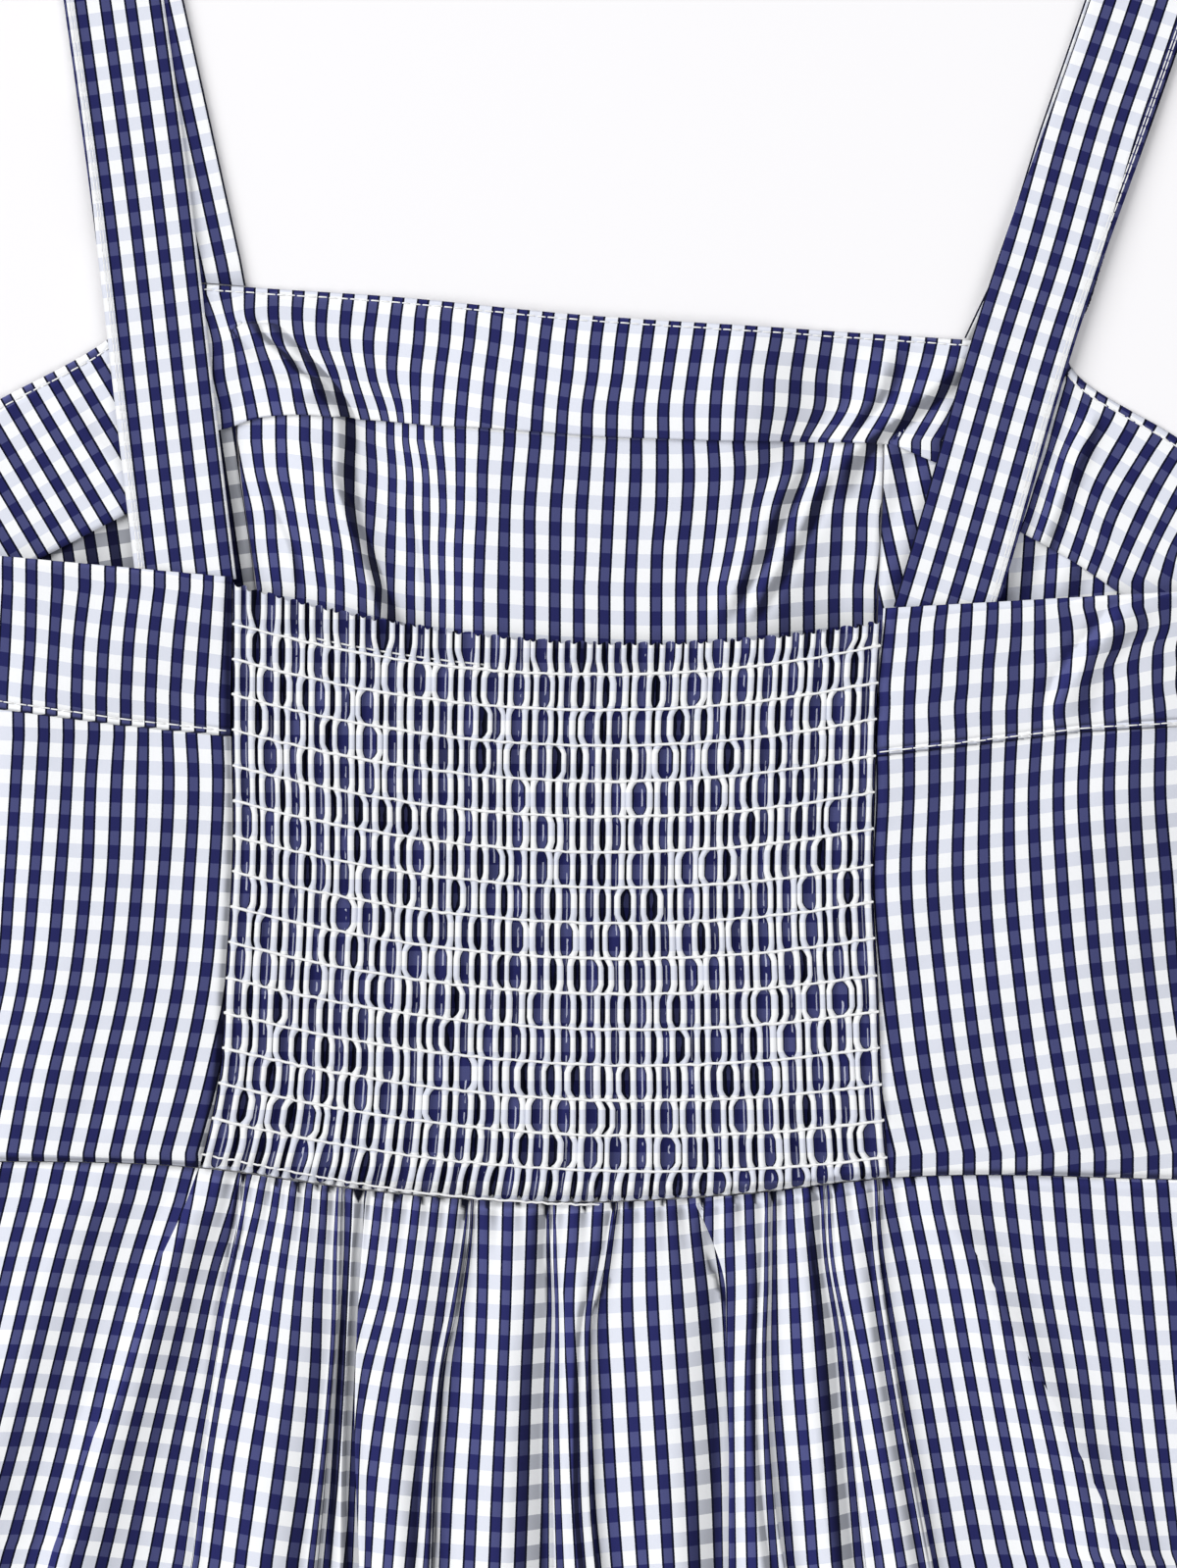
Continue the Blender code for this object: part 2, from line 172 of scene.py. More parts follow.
def front_rise(x, y):
    """Soft folds in the front's middle panel, seen from inside above the back's edge."""
    crease = bend([(90, -40), (152.5, -47), (181, -57), (192.5, -59.7), (210, -60.5), (239, -84)], y)
    flap = 4.6 * step(x, -88, crease - 8) * (1 - step(x, crease - 1.5, crease + 4.5))
    plateau = 4.8 * step(x, crease + 9, -20) * (1 - step(x, 46, 80))
    along = step(y, 85, 135) * (1 - 0.65 * step(y, 205, 246))
    return (flap + plateau) * along


# Materials

DEEP_SHADE = (0.0035, 0.0045, 0.014)           # painted shade: the shaded edge of a navy stripe, and the shade in gaps of the cloth
NAVY_NAVY = (0.0175, 0.0195, 0.098)     # navy warp over navy weft
NAVY_WHITE = (0.061, 0.067, 0.178)      # navy warp, white weft
WHITE_NAVY = (0.70, 0.725, 0.805)       # white warp, navy weft
WHITE_WHITE = (0.88, 0.89, 0.90)
CREASE_LIGHT = (0.55, 0.57, 0.70)
WARP_HALF = 0.252       # half a navy stripe, in repeats of the check
WEFT_HALF = 0.25
VALLEY_HALF = 0.262     # half of what shows navy in a valley of the shirring
RIM_FROM = 0.168        # where a stripe's shaded edge starts, from the stripe's middle
RIM_SHARE = 0.95
RAGGED = 0.022          # how far a stripe's edge strays
PAINTED_SHADE_GAIN = 1.45        # painted shade and highlight: the folds are lower than the real ones, so cloth that leans is painted darker or lighter more
SHADE_LEAST, SHADE_MOST = 0.3, 1.45

# Lights, in metres and watts
KEY_PLACE = (-2.6, 1.9, 3.1)
KEY_AIM = (0, 0.2, 0)
KEY_SIZE, KEY_WATTS = 4.2, 184
FILL_PLACE = (1.6, -0.8, 3.0)
FILL_SIZE, FILL_WATTS = 3.0, 49
SKY_COLOUR = (0.98, 0.98, 1.03, 1)
SKY_STRENGTH = 0.27
FLOOR_HALF, FLOOR_Z = 3.0, -0.0004
FLOOR_COLOUR = (0.88, 0.872, 0.88, 1)


class Nodes:
    """Short names for making a node tree."""

    def __init__(self, name):
        self.material = bpy.data.materials.new(name)
        self.material.use_nodes = True
        self.tree = self.material.node_tree
        self.shader = self.tree.nodes["Principled BSDF"]

    def add(self, kind, **settings):
        node = self.tree.nodes.new("ShaderNode" + kind)
        for key, value in settings.items():
            setattr(node, key, value)
        return node

    def link(self, value, socket):
        if isinstance(value, (int, float, tuple)):
            socket.default_value = value
        else:
            self.tree.links.new(value, socket)

    def math(self, operation, a, b=0.0):
        node = self.add("Math", operation=operation)
        self.link(a, node.inputs[0])
        self.link(b, node.inputs[1])
        return node.outputs[0]

    def plus(self, a, b):
        return self.math("ADD", a, b)

    def minus(self, a, b):
        return self.math("SUBTRACT", a, b)

    def times(self, a, b):
        return self.math("MULTIPLY", a, b)

    def mix(self, share, a, b):
        node = self.add("Mix", data_type="RGBA")
        self.link(share, node.inputs[0])
        for value, socket in ((a, node.inputs[6]), (b, node.inputs[7])):
            self.link((*value, 1) if isinstance(value, tuple) else value, socket)
        return node.outputs[2]

    def noise(self, vector, scale, detail=2.0):
        node = self.add("TexNoise")
        node.inputs["Scale"].default_value = scale
        node.inputs["Detail"].default_value = detail
        self.link(vector, node.inputs["Vector"])
        return node.outputs["Fac"]

    def stretched(self, vector, scale):
        node = self.add("VectorMath", operation="MULTIPLY")
        self.link(vector, node.inputs[0])
        node.inputs[1].default_value = scale
        return node.outputs[0]


def gingham(name, pleated=False):
    """Yarn-dyed poplin: navy and white yarns both ways, read from the map of cloth coordinates."""
    n = Nodes(name)
    cloth = n.add("UVMap", uv_map="cloth").outputs[0]
    ragged = n.noise(n.stretched(cloth, (26, 7, 1)), 1.0)
    ragged_long = n.noise(n.stretched(cloth, (7, 26, 1)), 1.0)
    split = n.add("SeparateXYZ")
    n.link(cloth, split.inputs[0])
    across = n.plus(split.outputs[0], n.times(n.minus(ragged_long, 0.5), RAGGED))
    along = n.plus(split.outputs[1], n.times(n.minus(ragged, 0.5), RAGGED))

    def distance(value):
        """How far a coordinate is from the middle of the nearest navy stripe, in repeats."""
        return n.math("ABSOLUTE", n.minus(n.math("FRACT", n.plus(value, 0.5)), 0.5))
    warp_off, weft_off = distance(across), distance(along)
    half = WARP_HALF
    rim_from = RIM_FROM
    if pleated:
        # In the shirred panel navy shows in the valleys, which round off towards each row of thread
        cell_map = n.add("UVMap", uv_map="cells").outputs[0]
        cells = n.add("SeparateXYZ")
        n.link(cell_map, cells.inputs[0])
        down = n.math("ABSOLUTE", n.minus(n.times(n.math("FRACT", cells.outputs[1]), 2), 1))
        open_top = n.math("GREATER_THAN", cells.outputs[1], 0.5)
        down = n.times(down, open_top)
        half = n.minus(VALLEY_HALF, n.times(n.math("POWER", down, 7), VALLEY_HALF))
        # Painted shade: the narrow valleys lie deep in shade, so their shaded edge is painted wider, and
        # unevenly
        narrow = n.math("LESS_THAN", distance(n.times(across, 0.5)), 0.2)
        uneven = n.noise(n.stretched(cell_map, (0.9, 1.3, 1)), 1.0)
        rim_from = n.minus(half, n.times(uneven, n.plus(0.13, n.times(narrow, 0.22))))
    warp = n.math("LESS_THAN", warp_off, half)
    weft = n.math("LESS_THAN", weft_off, WEFT_HALF)
    # Fine flecks where navy and white yarns cross
    flecks = n.noise(n.stretched(cloth, (30, 30, 1)), 1.0, 3.0)
    fleck = n.times(n.minus(flecks, 0.5), 0.5)
    navy = n.mix(weft, NAVY_WHITE, NAVY_NAVY)
    white = n.mix(weft, WHITE_WHITE, WHITE_NAVY)
    shade = pale_shade = 1.0
    if not pleated:
        # Painted shade and highlight where cloth leans from or towards the light, and painted shade in the
        # small gaps between gathers
        painted_shading = n.add("SeparateXYZ")
        n.link(n.add("UVMap", uv_map="painted_shading").outputs[0], painted_shading.inputs[0])
        shade = n.plus(1.0, n.times(painted_shading.outputs[0], PAINTED_SHADE_GAIN))
        shade = n.math("MAXIMUM", n.math("MINIMUM", shade, SHADE_MOST), SHADE_LEAST)
        # Plain white shades least: light from its neighbours fills it
        weakly = n.plus(0.3, n.times(weft, 0.5))
        pale_shade = n.plus(1.0, n.times(n.minus(shade, 1.0), weakly))
    lighter = n.add("HueSaturation")
    n.link(n.times(n.plus(1.0, fleck), shade), lighter.inputs["Value"])
    n.link(navy, lighter.inputs["Color"])
    # Painted shade: the outer yarns of a navy stripe lie deepest, so their shade is painted darkest
    rim = n.math("GREATER_THAN", warp_off, rim_from)
    rim = n.times(rim, RIM_SHARE)
    dark = n.mix(rim, lighter.outputs[0], DEEP_SHADE)
    faint = n.add("HueSaturation")
    paler = n.plus(1.0, n.times(fleck, 0.12))
    n.link(n.times(paler, n.math("MINIMUM", pale_shade, 1.04)), faint.inputs["Value"])
    n.link(white, faint.inputs["Color"])
    if pleated:
        # The small crease inside a wide valley catches the light
        signed = n.minus(n.math("FRACT", n.plus(across, 0.5)), 0.5)
        by_crease = n.math("LESS_THAN", n.math("ABSOLUTE", n.minus(signed, 0.06)), 0.022)
        seen = n.noise(n.stretched(cell_map, (1.7, 0.8, 1)), 2.0)
        streak = n.times(by_crease, n.math("GREATER_THAN", seen, 0.47))
        streak = n.times(streak, n.minus(1.0, narrow))
        dark = n.mix(n.times(streak, 0.75), dark, CREASE_LIGHT)
    colour = n.mix(warp, faint.outputs[0], dark)
    if not pleated:
        # Painted shade in the gaps between gathers and beside folds
        colour = n.mix(painted_shading.outputs[1], colour, DEEP_SHADE)
    n.link(colour, n.shader.inputs["Base Color"])
    n.shader.inputs["Roughness"].default_value = 0.82
    n.shader.inputs["Specular IOR Level"].default_value = 0.06
    n.shader.inputs["Sheen Weight"].default_value = 0.04
    n.shader.inputs["Sheen Roughness"].default_value = 0.5
    # Weave: yarns of 0.22 mm both ways
    yarns = 2 * math.pi * 32
    wave_a = n.math("SINE", n.times(split.outputs[0], yarns))
    wave_b = n.math("SINE", n.times(split.outputs[1], yarns))
    weave = n.plus(n.times(wave_a, wave_b), n.times(flecks, 1.5))
    bump = n.add("Bump")
    bump.inputs["Strength"].default_value = 0.22
    bump.inputs["Distance"].default_value = 0.00008
    n.link(weave, bump.inputs["Height"])
    n.link(bump.outputs[0], n.shader.inputs["Normal"])
    return n.material


def thread_material():
    n = Nodes("thread")
    place = n.add("NewGeometry").outputs["Position"]
    twist = n.noise(n.stretched(place, (2500, 2500, 2500)), 1.0)
    n.link(n.mix(twist, (0.80, 0.80, 0.79), (0.93, 0.93, 0.92)), n.shader.inputs["Base Color"])
    n.shader.inputs["Roughness"].default_value = 0.55
    n.shader.inputs["Sheen Weight"].default_value = 0.1
    bump = n.add("Bump")
    bump.inputs["Strength"].default_value = 0.4
    bump.inputs["Distance"].default_value = 0.00006
    n.link(twist, bump.inputs["Height"])
    n.link(bump.outputs[0], n.shader.inputs["Normal"])
    return n.material


MATERIALS = {name: gingham(name) for name in ("gingham", "gingham_inside")}
MATERIALS["gingham_shirred"] = gingham("gingham_shirred", pleated=True)
MATERIALS["thread"] = thread_material()
EDGES = {}      # grids of points that stitches are laid on


# Making meshes

def mesh_object(name, points, faces, slot):
    mesh = bpy.data.meshes.new(name)
    world = np.array(points, float).reshape(-1, 3) + (0, SHIFT_Y, 0)
    mesh.from_pydata((world * MM).tolist(), [], faces)
    mesh.materials.append(MATERIALS[slot])
    mesh.shade_smooth()
    piece = bpy.data.objects.new(name, mesh)
    bpy.context.scene.collection.objects.link(piece)
    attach(piece, "root")
    return piece


def grid_faces(rows, columns, closed=False):
    """Quads of a grid whose rows run down and whose columns run to the right, facing up."""
    index = np.arange(rows * columns).reshape(rows, columns)
    right = np.roll(index, -1, axis=1)
    if not closed:
        index, right = index[:, :-1], right[:, :-1]
    quads = np.stack([index[:-1], index[1:], right[1:], right[:-1]], axis=-1)
    return quads.reshape(-1, 4).tolist()


def add_map(piece, name, values):
    """A UV map from one (u, v) for each vertex."""
    mesh = piece.data
    corner = np.zeros(len(mesh.loops), int)
    mesh.loops.foreach_get("vertex_index", corner)
    layer = mesh.uv_layers.new(name=name)
    layer.data.foreach_set("uv", np.asarray(values, float).reshape(-1, 2)[corner].ravel())


def leaning(points):
    """How much more (or less) light than flat cloth each point of a grid takes from its lean."""
    along, across = np.gradient(points, axis=0), np.gradient(points, axis=1)
    facing = np.cross(along, across)
    facing /= np.linalg.norm(facing, axis=-1)[..., None] + 1e-9
    light = np.array(KEY_PLACE) - KEY_AIM
    light = light / light[2]
    return np.clip((facing * light).sum(-1) - 1, -1, 0.6)


def cloth_piece(name, points, cloth, slot, node, wall=POPLIN, gaps=None):
    """A thin sheet over the solid that it replaces. cloth holds the check's coordinates."""
    rows, columns = points.shape[:2]
    piece = mesh_object(name, points, grid_faces(rows, columns), slot)
    add_map(piece, "cloth", cloth)
    # Painted shade and highlight from each point's lean towards the light, and painted shade in the gaps; the
    # shirred panel and the straps get none
    if slot != "gingham_shirred":
        lean = 0 * points[..., 0] if name.startswith("strap") else leaning(points)
        add_map(piece, "painted_shading", np.stack([lean, 0 * lean if gaps is None else gaps], axis=-1))
    a, b = np.meshgrid(np.linspace(0.01, 0.99, columns), np.linspace(0.99, 0.01, rows))
    add_map(piece, "OFBake", np.stack([a, b], axis=-1))
    if wall:
        thick = piece.modifiers.new("Wall", "SOLIDIFY")
        thick.thickness = wall * MM
        thick.offset = 1
    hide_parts(node)
    return piece


def shares(count, *dense):
    """Shares from 0 to 1, packed more closely round each (place, width, strength) of dense."""
    t = np.linspace(0, 1, 2001)
    weight = np.ones_like(t)
    for place, width, strength in dense:
        weight += strength * bell(t, place, width)
    total = np.concatenate([[0], np.cumsum((weight[1:] + weight[:-1]) / 2)])
    return np.interp(np.linspace(0, total[-1], count), total, t)


def tube(points, radius, sides=6, flat=1.0):
    """Vertices and faces of a closed thread through points; flat squashes it in height."""
    points = np.asarray(points, float)
    way = np.gradient(points, axis=0)
    way /= np.linalg.norm(way, axis=1)[:, None]
    side = np.cross(way, (0, 0, 1.0))
    side /= np.linalg.norm(side, axis=1)[:, None] + 1e-9
    up = np.cross(side, way)
    radius = np.broadcast_to(radius, len(points))
    ring = []
    for k in range(sides):
        angle = 2 * math.pi * k / sides
        offset = side * math.cos(angle) + up * math.sin(angle) * flat
        ring.append(points + offset * radius[:, None])
    ring = np.stack(ring, axis=1)
    faces = [face[::-1] for face in grid_faces(len(points), sides, closed=True)]
    faces.append(list(range(sides)))
    faces.append([len(points) * sides - 1 - k for k in range(sides)])
    return ring.reshape(-1, 3), faces


def thread_piece(name, tubes):
    """One mesh of many threads."""
    points, faces, start = [], [], 0
    for verts, quads in tubes:
        points.append(verts)
        faces += [[start + index for index in face] for face in quads]
        start += len(verts)
    return mesh_object(name, np.concatenate(points), faces, "thread")


# Length, gap, radius and depth in the cloth
EDGE_STITCH = (2.5, 0.35, 0.21, 0.05)
BAND_STITCH = (3.0, 0.25, 0.2, 0.0)
STRAP_STITCH = (2.5, 0.3, 0.17, 0.12)


def stitches(line, kind, seed):
    """A row of stitches along a line of surface points: short threads that dive in at both ends."""
    length, gap, radius, sink = kind
    line = np.asarray(line, float)
    run = np.concatenate([[0], np.cumsum(np.linalg.norm(np.diff(line, axis=0), axis=1))])
    chance = np.random.default_rng(seed)
    made, start = [], 0.3
    while start + length < run[-1]:
        long = length * chance.uniform(0.92, 1.08)
        t = start + long * np.array([0, 0.12, 0.5, 0.88, 1])
        spot = np.stack([np.interp(t, run, line[:, k]) for k in range(3)], axis=1)
        spot[:, 2] += np.array([-0.35, 0.1, 0.16, 0.1, -0.35]) + radius * 0.5 - sink
        spot[:, 1] += chance.uniform(-0.08, 0.08)
        made.append(tube(spot, np.array([0.6, 1, 1, 1, 0.6]) * radius, 6, 0.7))
        start += long + gap
    return made


# Front of the bodice, seen from its inside

# Photo x of the numbered navy stripes, at the photo y that starts each row. Most values in the
# stripe tables, from here to the skirt's, were measured by scratch scripts, not read by hand.
PHOTO_FRONT_NUMBERS = range(-14, 18)
PHOTO_FRONT = [
    (450, 236, 262, 288, 312, 335, 357, 378, 399, 414, 429, 447, 470, 494, 520, 546, 572, 598,
     624, 648, 675, 701, 726, 752, 778, 804, 826, 846, 866, 888, 912, 938, 966),
    (480, 243, 265.5, 289, 316, 335, 355, 380, 401, 418, 434.5, 450, 470, 492, 517.5, 543, 570, 596,
     622, 648, 675, 702, 728, 754, 778, 802, 823, 840, 860, 886, 916, 945, 972),
    (520, 252.8, 275, 297.5, 318.3, 340.2, 356, 377.7, 401, 418, 435, 452.6, 469, 491.6, 515, 540, 567,
     593, 620, 646, 674, 700, 726, 750, 770, 790, 809, 830, 854, 880, 902, 924, 946),
    (560, 256.5, 278.7, 304, 324.3, 345.8, 365, 376, 398.5, 420, 435, 451, 467.5, 489.5, 514, 540, 566,
     592, 618, 644, 670, 696, 722, 744, 764, 784, 804, 826, 852, 878, 902, 932, 957),
    (600, 262.7, 283, 307.6, 330.2, 346.5, 372, 385.5, 397, 419.5, 437, 451.5, 467.6, 488, 513.5, 540, 566,
     590, 616, 642, 669, 694, 716, 736, 755, 776, 799, 824, 850, 875, 896, 925, 952),
]
PHOTO_FACING_NUMBERS = range(-11, 21)
PHOTO_FACING = [
    (300, 230, 255, 279, 304.6, 330.6, 356, 382, 407.5, 433.3, 459, 485, 511, 537, 562, 588, 615, 641,
     667, 693, 719, 745, 772, 799, 825, 851, 878, 904, 930, 958, 984, 1005, 1028),
    (324, 235, 255, 279.3, 303.4, 328, 353, 379, 404, 429.3, 455.4, 481, 507, 533, 559, 584.5, 611, 637,
     663, 689, 715, 741, 767, 794, 820, 846, 873, 899, 925, 953, 979, 1001, 1024),
    (345, 242, 263, 282, 306, 328, 352, 376, 402, 428, 454, 479, 505, 531, 556, 582, 608, 634,
     660, 686, 712, 738, 764, 791, 817, 843, 870, 896, 922, 950, 976, 998, 1021),
    (385, 250, 276, 302, 320, 342, 360, 380, 400, 424, 449, 474, 500, 526, 552, 578, 604, 629,
     655, 680, 706, 732, 758, 784, 811, 837, 864, 890, 915, 940, 966, 986, 1008),
    (418, 257, 283, 308, 332, 349, 370, 391, 408, 424, 446, 471, 497, 522, 549, 574, 599, 624,
     651, 676, 702, 729, 755, 782, 808, 834, 859, 882, 906, 928, 952, 973, 1002),
    (450, 262, 290, 316, 342, 358, 378, 398, 411, 424, 444, 469, 495, 520, 547, 572, 598, 623,
     650, 676, 702, 728, 753, 778, 800, 819, 838, 863, 887, 911, 934, 953, 980),
]
# Photo places of navy weft stripes: rows of photo x, then the photo y of the stripe. Those here and
# further down were partly measured by a scratch script.
PHOTO_FRONT_WEFT = [
    (290, 499), (340, 507), (400, 524), (460, 532), (520, 537), (580, 541), (640, 544), (700, 544),
    (760, 541), (820, 534), (870, 530), (920, 534), (1000, 546),
]
PHOTO_FACING_WEFT = [
    (200, 388), (230, 383), (251, 378.7), (276, 375.6), (300, 376.5), (330, 379), (357, 381), (400, 385),
    (460, 392), (520, 403), (580, 414), (640, 418.5), (700, 420.5), (760, 421.5), (820, 424.5),
    (880, 430.5), (1000, 446),
]
FRONT_WEFT_PITCH = 29
FACING_WEFT_PITCH = 28.0
# Photo places of the facing's lower edge
PHOTO_FACING_EDGE = [
    (190, 442), (229, 438), (263, 427.5), (297, 424.5), (345, 427.5), (394, 430), (442, 435), (491, 438),
    (568, 443.5), (617, 447), (685, 449.5), (733, 451), (830, 452), (893, 453), (910, 454), (927, 461),
    (951, 471), (1020, 500),
]


def front_centre_point(a, b):
    """The front's middle panel, as in the part: a goes across it, b from neckline to waist."""
    left = bend(PRINCESS_LEFT, between(248, -2, b))
    right = bend(PRINCESS_RIGHT, between(234, -2, b)) - SEAM_GAP
    x = between(left, right, a)
    y = between(bend(NECK_EDGE, x), waist_y(x) + SEAM_GAP / 2, b)
    return x, y, front_rise(x, y)


def grid(across, down, place):
    a, b = np.meshgrid(np.asarray(across, float), np.asarray(down, float))
    x, y, z = place(a, b)
    return np.stack([x, y, z + 0 * x], axis=-1)


def check_down(x, y, weft, pitch):
    """Cloth coordinate along the check, counted from the weft stripe through photo places weft."""
    px, py = pixel(x, y)
    return (py - bend(weft, px)) / pitch


# Creases in the photograph's front and facing: places along each (photo x, photo y), then the
# ridge's height, its width on the left and on the right in millimetres
PHOTO_CREASES = {
    "across_facing": (((248, 318), (260, 339), (274, 354), (291, 368), (306, 384), (317, 390), (326, 403),
                       (339, 423)), 2.0, 6.5, 1.3),
    "left_long": (((334, 474), (345, 500), (357, 526), (368, 555), (378, 582), (385, 606), (393, 640)),
                  2.0, 6.0, 1.0),
    "left_second": (((409, 470), (414, 500), (420, 541), (428, 590), (438, 645)), 0.9, 3.5, 1.0),
    "left_third": (((428, 500), (435, 541), (443, 590), (452, 645)), 0.6, 2.5, 0.9),
    "left_low": (((258, 470), (275, 520), (292, 560), (302, 620)), 0.9, 4.5, 1.6),
    "small": (((438, 455), (450, 485), (456, 496), (476, 502), (496, 512)), 0.5, 3.0, 0.9),
    "by_right_strap": (((985, 350), (955, 392), (915, 425), (868, 462), (850, 520)), 2.0, 6.0, 3.4),
    "facing_right": (((905, 352), (893, 400), (862, 440), (838, 470)), 1.2, 5.0, 2.6),
    "right_long": (((822, 455), (798, 505), (771, 560), (745, 610), (728, 650)), 1.3, 5.0, 2.4),
    "right_short": (((850, 458), (832, 500), (812, 545), (780, 600), (752, 650)), 1.0, 3.6, 2.0),
}


def crease_rise(x, y):
    """Height that the creases add at (x, y)."""
    rise = 0 * x
    for places, height, left, right in PHOTO_CREASES.values():
        px, py = np.array(places, float).T
        along_x, along_y = at(px, py)
        away = x - bend(list(zip(along_y, along_x))[::-1], y)
        top, low = along_y[0], along_y[-1]
        inside = step(y, low, between(low, top, 0.25)) * (1 - step(y, between(low, top, 0.75), top))
        ridge = np.where(away < 0, bell(away, 0, left), bell(away, 0, right))
        rise = rise + height * inside * (ridge - 0.4 * bell(away, 2 * right, right))
    return rise


def front_centre():
    across = shares(150, (0.12, 0.1, 1.5), (0.85, 0.1, 1.0))
    down = np.concatenate([np.linspace(0, 0.45, 110), np.linspace(0.47, 1, 14)])
    points = grid(across, down, front_centre_point)
    x, y = points[..., 0], points[..., 1]
    points[..., 2] += LIFT + crease_rise(x, y)
    u = stripe_number(PHOTO_FRONT, PHOTO_FRONT_NUMBERS, x, y)
    v = check_down(x, y, PHOTO_FRONT_WEFT, FRONT_WEFT_PITCH)
    return cloth_piece("front_middle_cloth", points, np.stack([u, v], -1), "gingham_inside",
                       "front_centre")


def facing_neck():
    across = np.linspace(0, 1, 210)
    down = np.concatenate([np.linspace(0, 0.14, 12), np.linspace(0.16, 1, 44)])

    def share(x):
        px = pixel(x, 0 * x)[0]
        edge = at(px, bend(PHOTO_FACING_EDGE, px))[1]
        top = bend(NECK_EDGE, x)
        return (top - edge) / (top - waist_y(x))

    def place(a, b):
        return front_centre_point(a, b * share(front_centre_point(a, 0 * b)[0]))
    middle = grid(across, down, place)
    out = np.cross(np.gradient(middle, axis=0), np.gradient(middle, axis=1))
    out /= np.linalg.norm(out, axis=2, keepdims=True)
    middle = middle + out * (CLOTH + LAY_GAP)

    def flat_end(x, b):
        top = bend(NECK_EDGE, x)
        return x, between(top, waist_y(x), b * share(x)), 0 * x + CLOTH + LAY_GAP
    left = grid(np.linspace(-101, -89.6, 10), down, flat_end)
    right = grid(np.linspace(91, 118, 22), down, flat_end)
    points = np.concatenate([left, middle, right], axis=1)
    x, y = points[..., 0], points[..., 1]
    depth = bend(NECK_EDGE, x) - y
    points[..., 2] += 0.1 + crease_rise(x, y) - 0.25 * bell(depth, 1.4, 0.35) - 0.5 * bell(depth, 0, 0.4)
    u = stripe_number(PHOTO_FACING, PHOTO_FACING_NUMBERS, x, y)
    v = check_down(x, y, PHOTO_FACING_WEFT, FACING_WEFT_PITCH)
    EDGES["neck"] = points
    return cloth_piece("facing_neck_cloth", points, np.stack([u, v], -1), "gingham_inside",
                       "facing_neck")


UNDERARM_ROW = 0.4
# Straight stripes: a photo place of stripe 0, the lean, then the pitch in pixels. The place is
# (x, y) for navy warp stripes and (y, x) for weft stripes.
PHOTO_SIDE_FRONT_LEFT = (((114, 540), 0.15, 24), ((520, 114), -0.15, 29))
PHOTO_SIDE_FRONT_RIGHT = (((916, 480), 0.22, 26), ((575.5, 1045), -0.1, 29.5))
PHOTO_BY_ARMHOLE = ((1045.5, 604), -0.07, 24.7)
PHOTO_ARMHOLE_LEFT = (((44, 420), 0.59, 28.7), ((455, 70), -0.6, 33.5))
PHOTO_ARMHOLE_RIGHT_WEFT = ((519, 1150), 0.62, 35.0)


def straight(p, q, place, lean, pitch):
    """Cloth coordinate of straight stripes, which move by lean in p for each pixel of q."""
    return (p - place[0] - lean * (q - place[1])) / pitch


def front_side(name, node, armhole, corner_x, underarm, waist_side, away):
    """Side front: from the princess seam to the armhole's edge and the side seam."""
    def place(a, b):
        seam_x, seam_y, _ = front_centre_point(0.5 + 0.5 * away, b)
        in_armhole = np.clip(b / UNDERARM_ROW, 0, 1)
        below = np.clip((b - UNDERARM_ROW) / (1 - UNDERARM_ROW), 0, 1)
        armhole_y = between(bend(NECK_EDGE, corner_x), underarm[1], in_armhole)
        side_y = between(underarm[1], waist_y(waist_side) + SEAM_GAP / 2, below)
        edge_y = np.where(b > UNDERARM_ROW, side_y, armhole_y)
        edge_x = np.where(b > UNDERARM_ROW, side_seam_x(underarm, waist_side, below),
                          bend(armhole, edge_y))
        x = between(seam_x + away * SEAM_GAP, edge_x, a)
        y = between(seam_y, edge_y, a)
        waist_bow = waist_y(x) - between(waist_y(seam_x), waist_y(waist_side), a)
        return x, y + waist_bow * step(b, 0.6, 1), 0 * a
    down = np.concatenate([np.linspace(0, UNDERARM_ROW, 50), np.linspace(0.43, 1, 12)])
    points = grid(np.linspace(0, 1, 50), down, place)
    points[..., 2] += LIFT
    px, py = pixel(points[..., 0], points[..., 1])
    if away < 0:
        u = straight(px, py, *PHOTO_SIDE_FRONT_LEFT[0])
        v = straight(py, px, *PHOTO_SIDE_FRONT_LEFT[1])
    else:
        by_seam = straight(px, py, *PHOTO_SIDE_FRONT_RIGHT[0])
        by_armhole = straight(px, py, *PHOTO_BY_ARMHOLE) + 5
        u = between(by_seam, by_armhole, step(px, 962, 1012))
        v = straight(py, px, *PHOTO_SIDE_FRONT_RIGHT[1])
    points[..., 2] += 0.5 * np.sin(px / 9.0 + py / 23.0) * step(py, 380, 430) * (1 - step(py, 600, 640))
    return cloth_piece(name, points, np.stack([u, v], -1), "gingham_inside", node)


PHOTO_ARMHOLE_RIGHT_NUMBERS = range(-1, 7)
PHOTO_ARMHOLE_RIGHT = [
    (390, 1091, 1112, 1140, 1170, 1202, 1234, 1262, 1290),
    (430, 1079, 1098, 1125.6, 1156, 1188, 1220, 1248, 1276),
    (463, 1069, 1083.3, 1104, 1138.6, 1167.5, 1198, 1226, 1254),
    (495, 1058.4, 1073.6, 1093, 1120, 1148, 1179, 1206, 1234),
    (528, 1048, 1063.4, 1084, 1108, 1131, 1162.5, 1188.5, 1214),
    (560, 1036, 1052, 1073, 1097, 1121, 1147.5, 1173, 1196),
    (593, 1024, 1041, 1062, 1085, 1108, 1134, 1158.6, 1186.7),
]


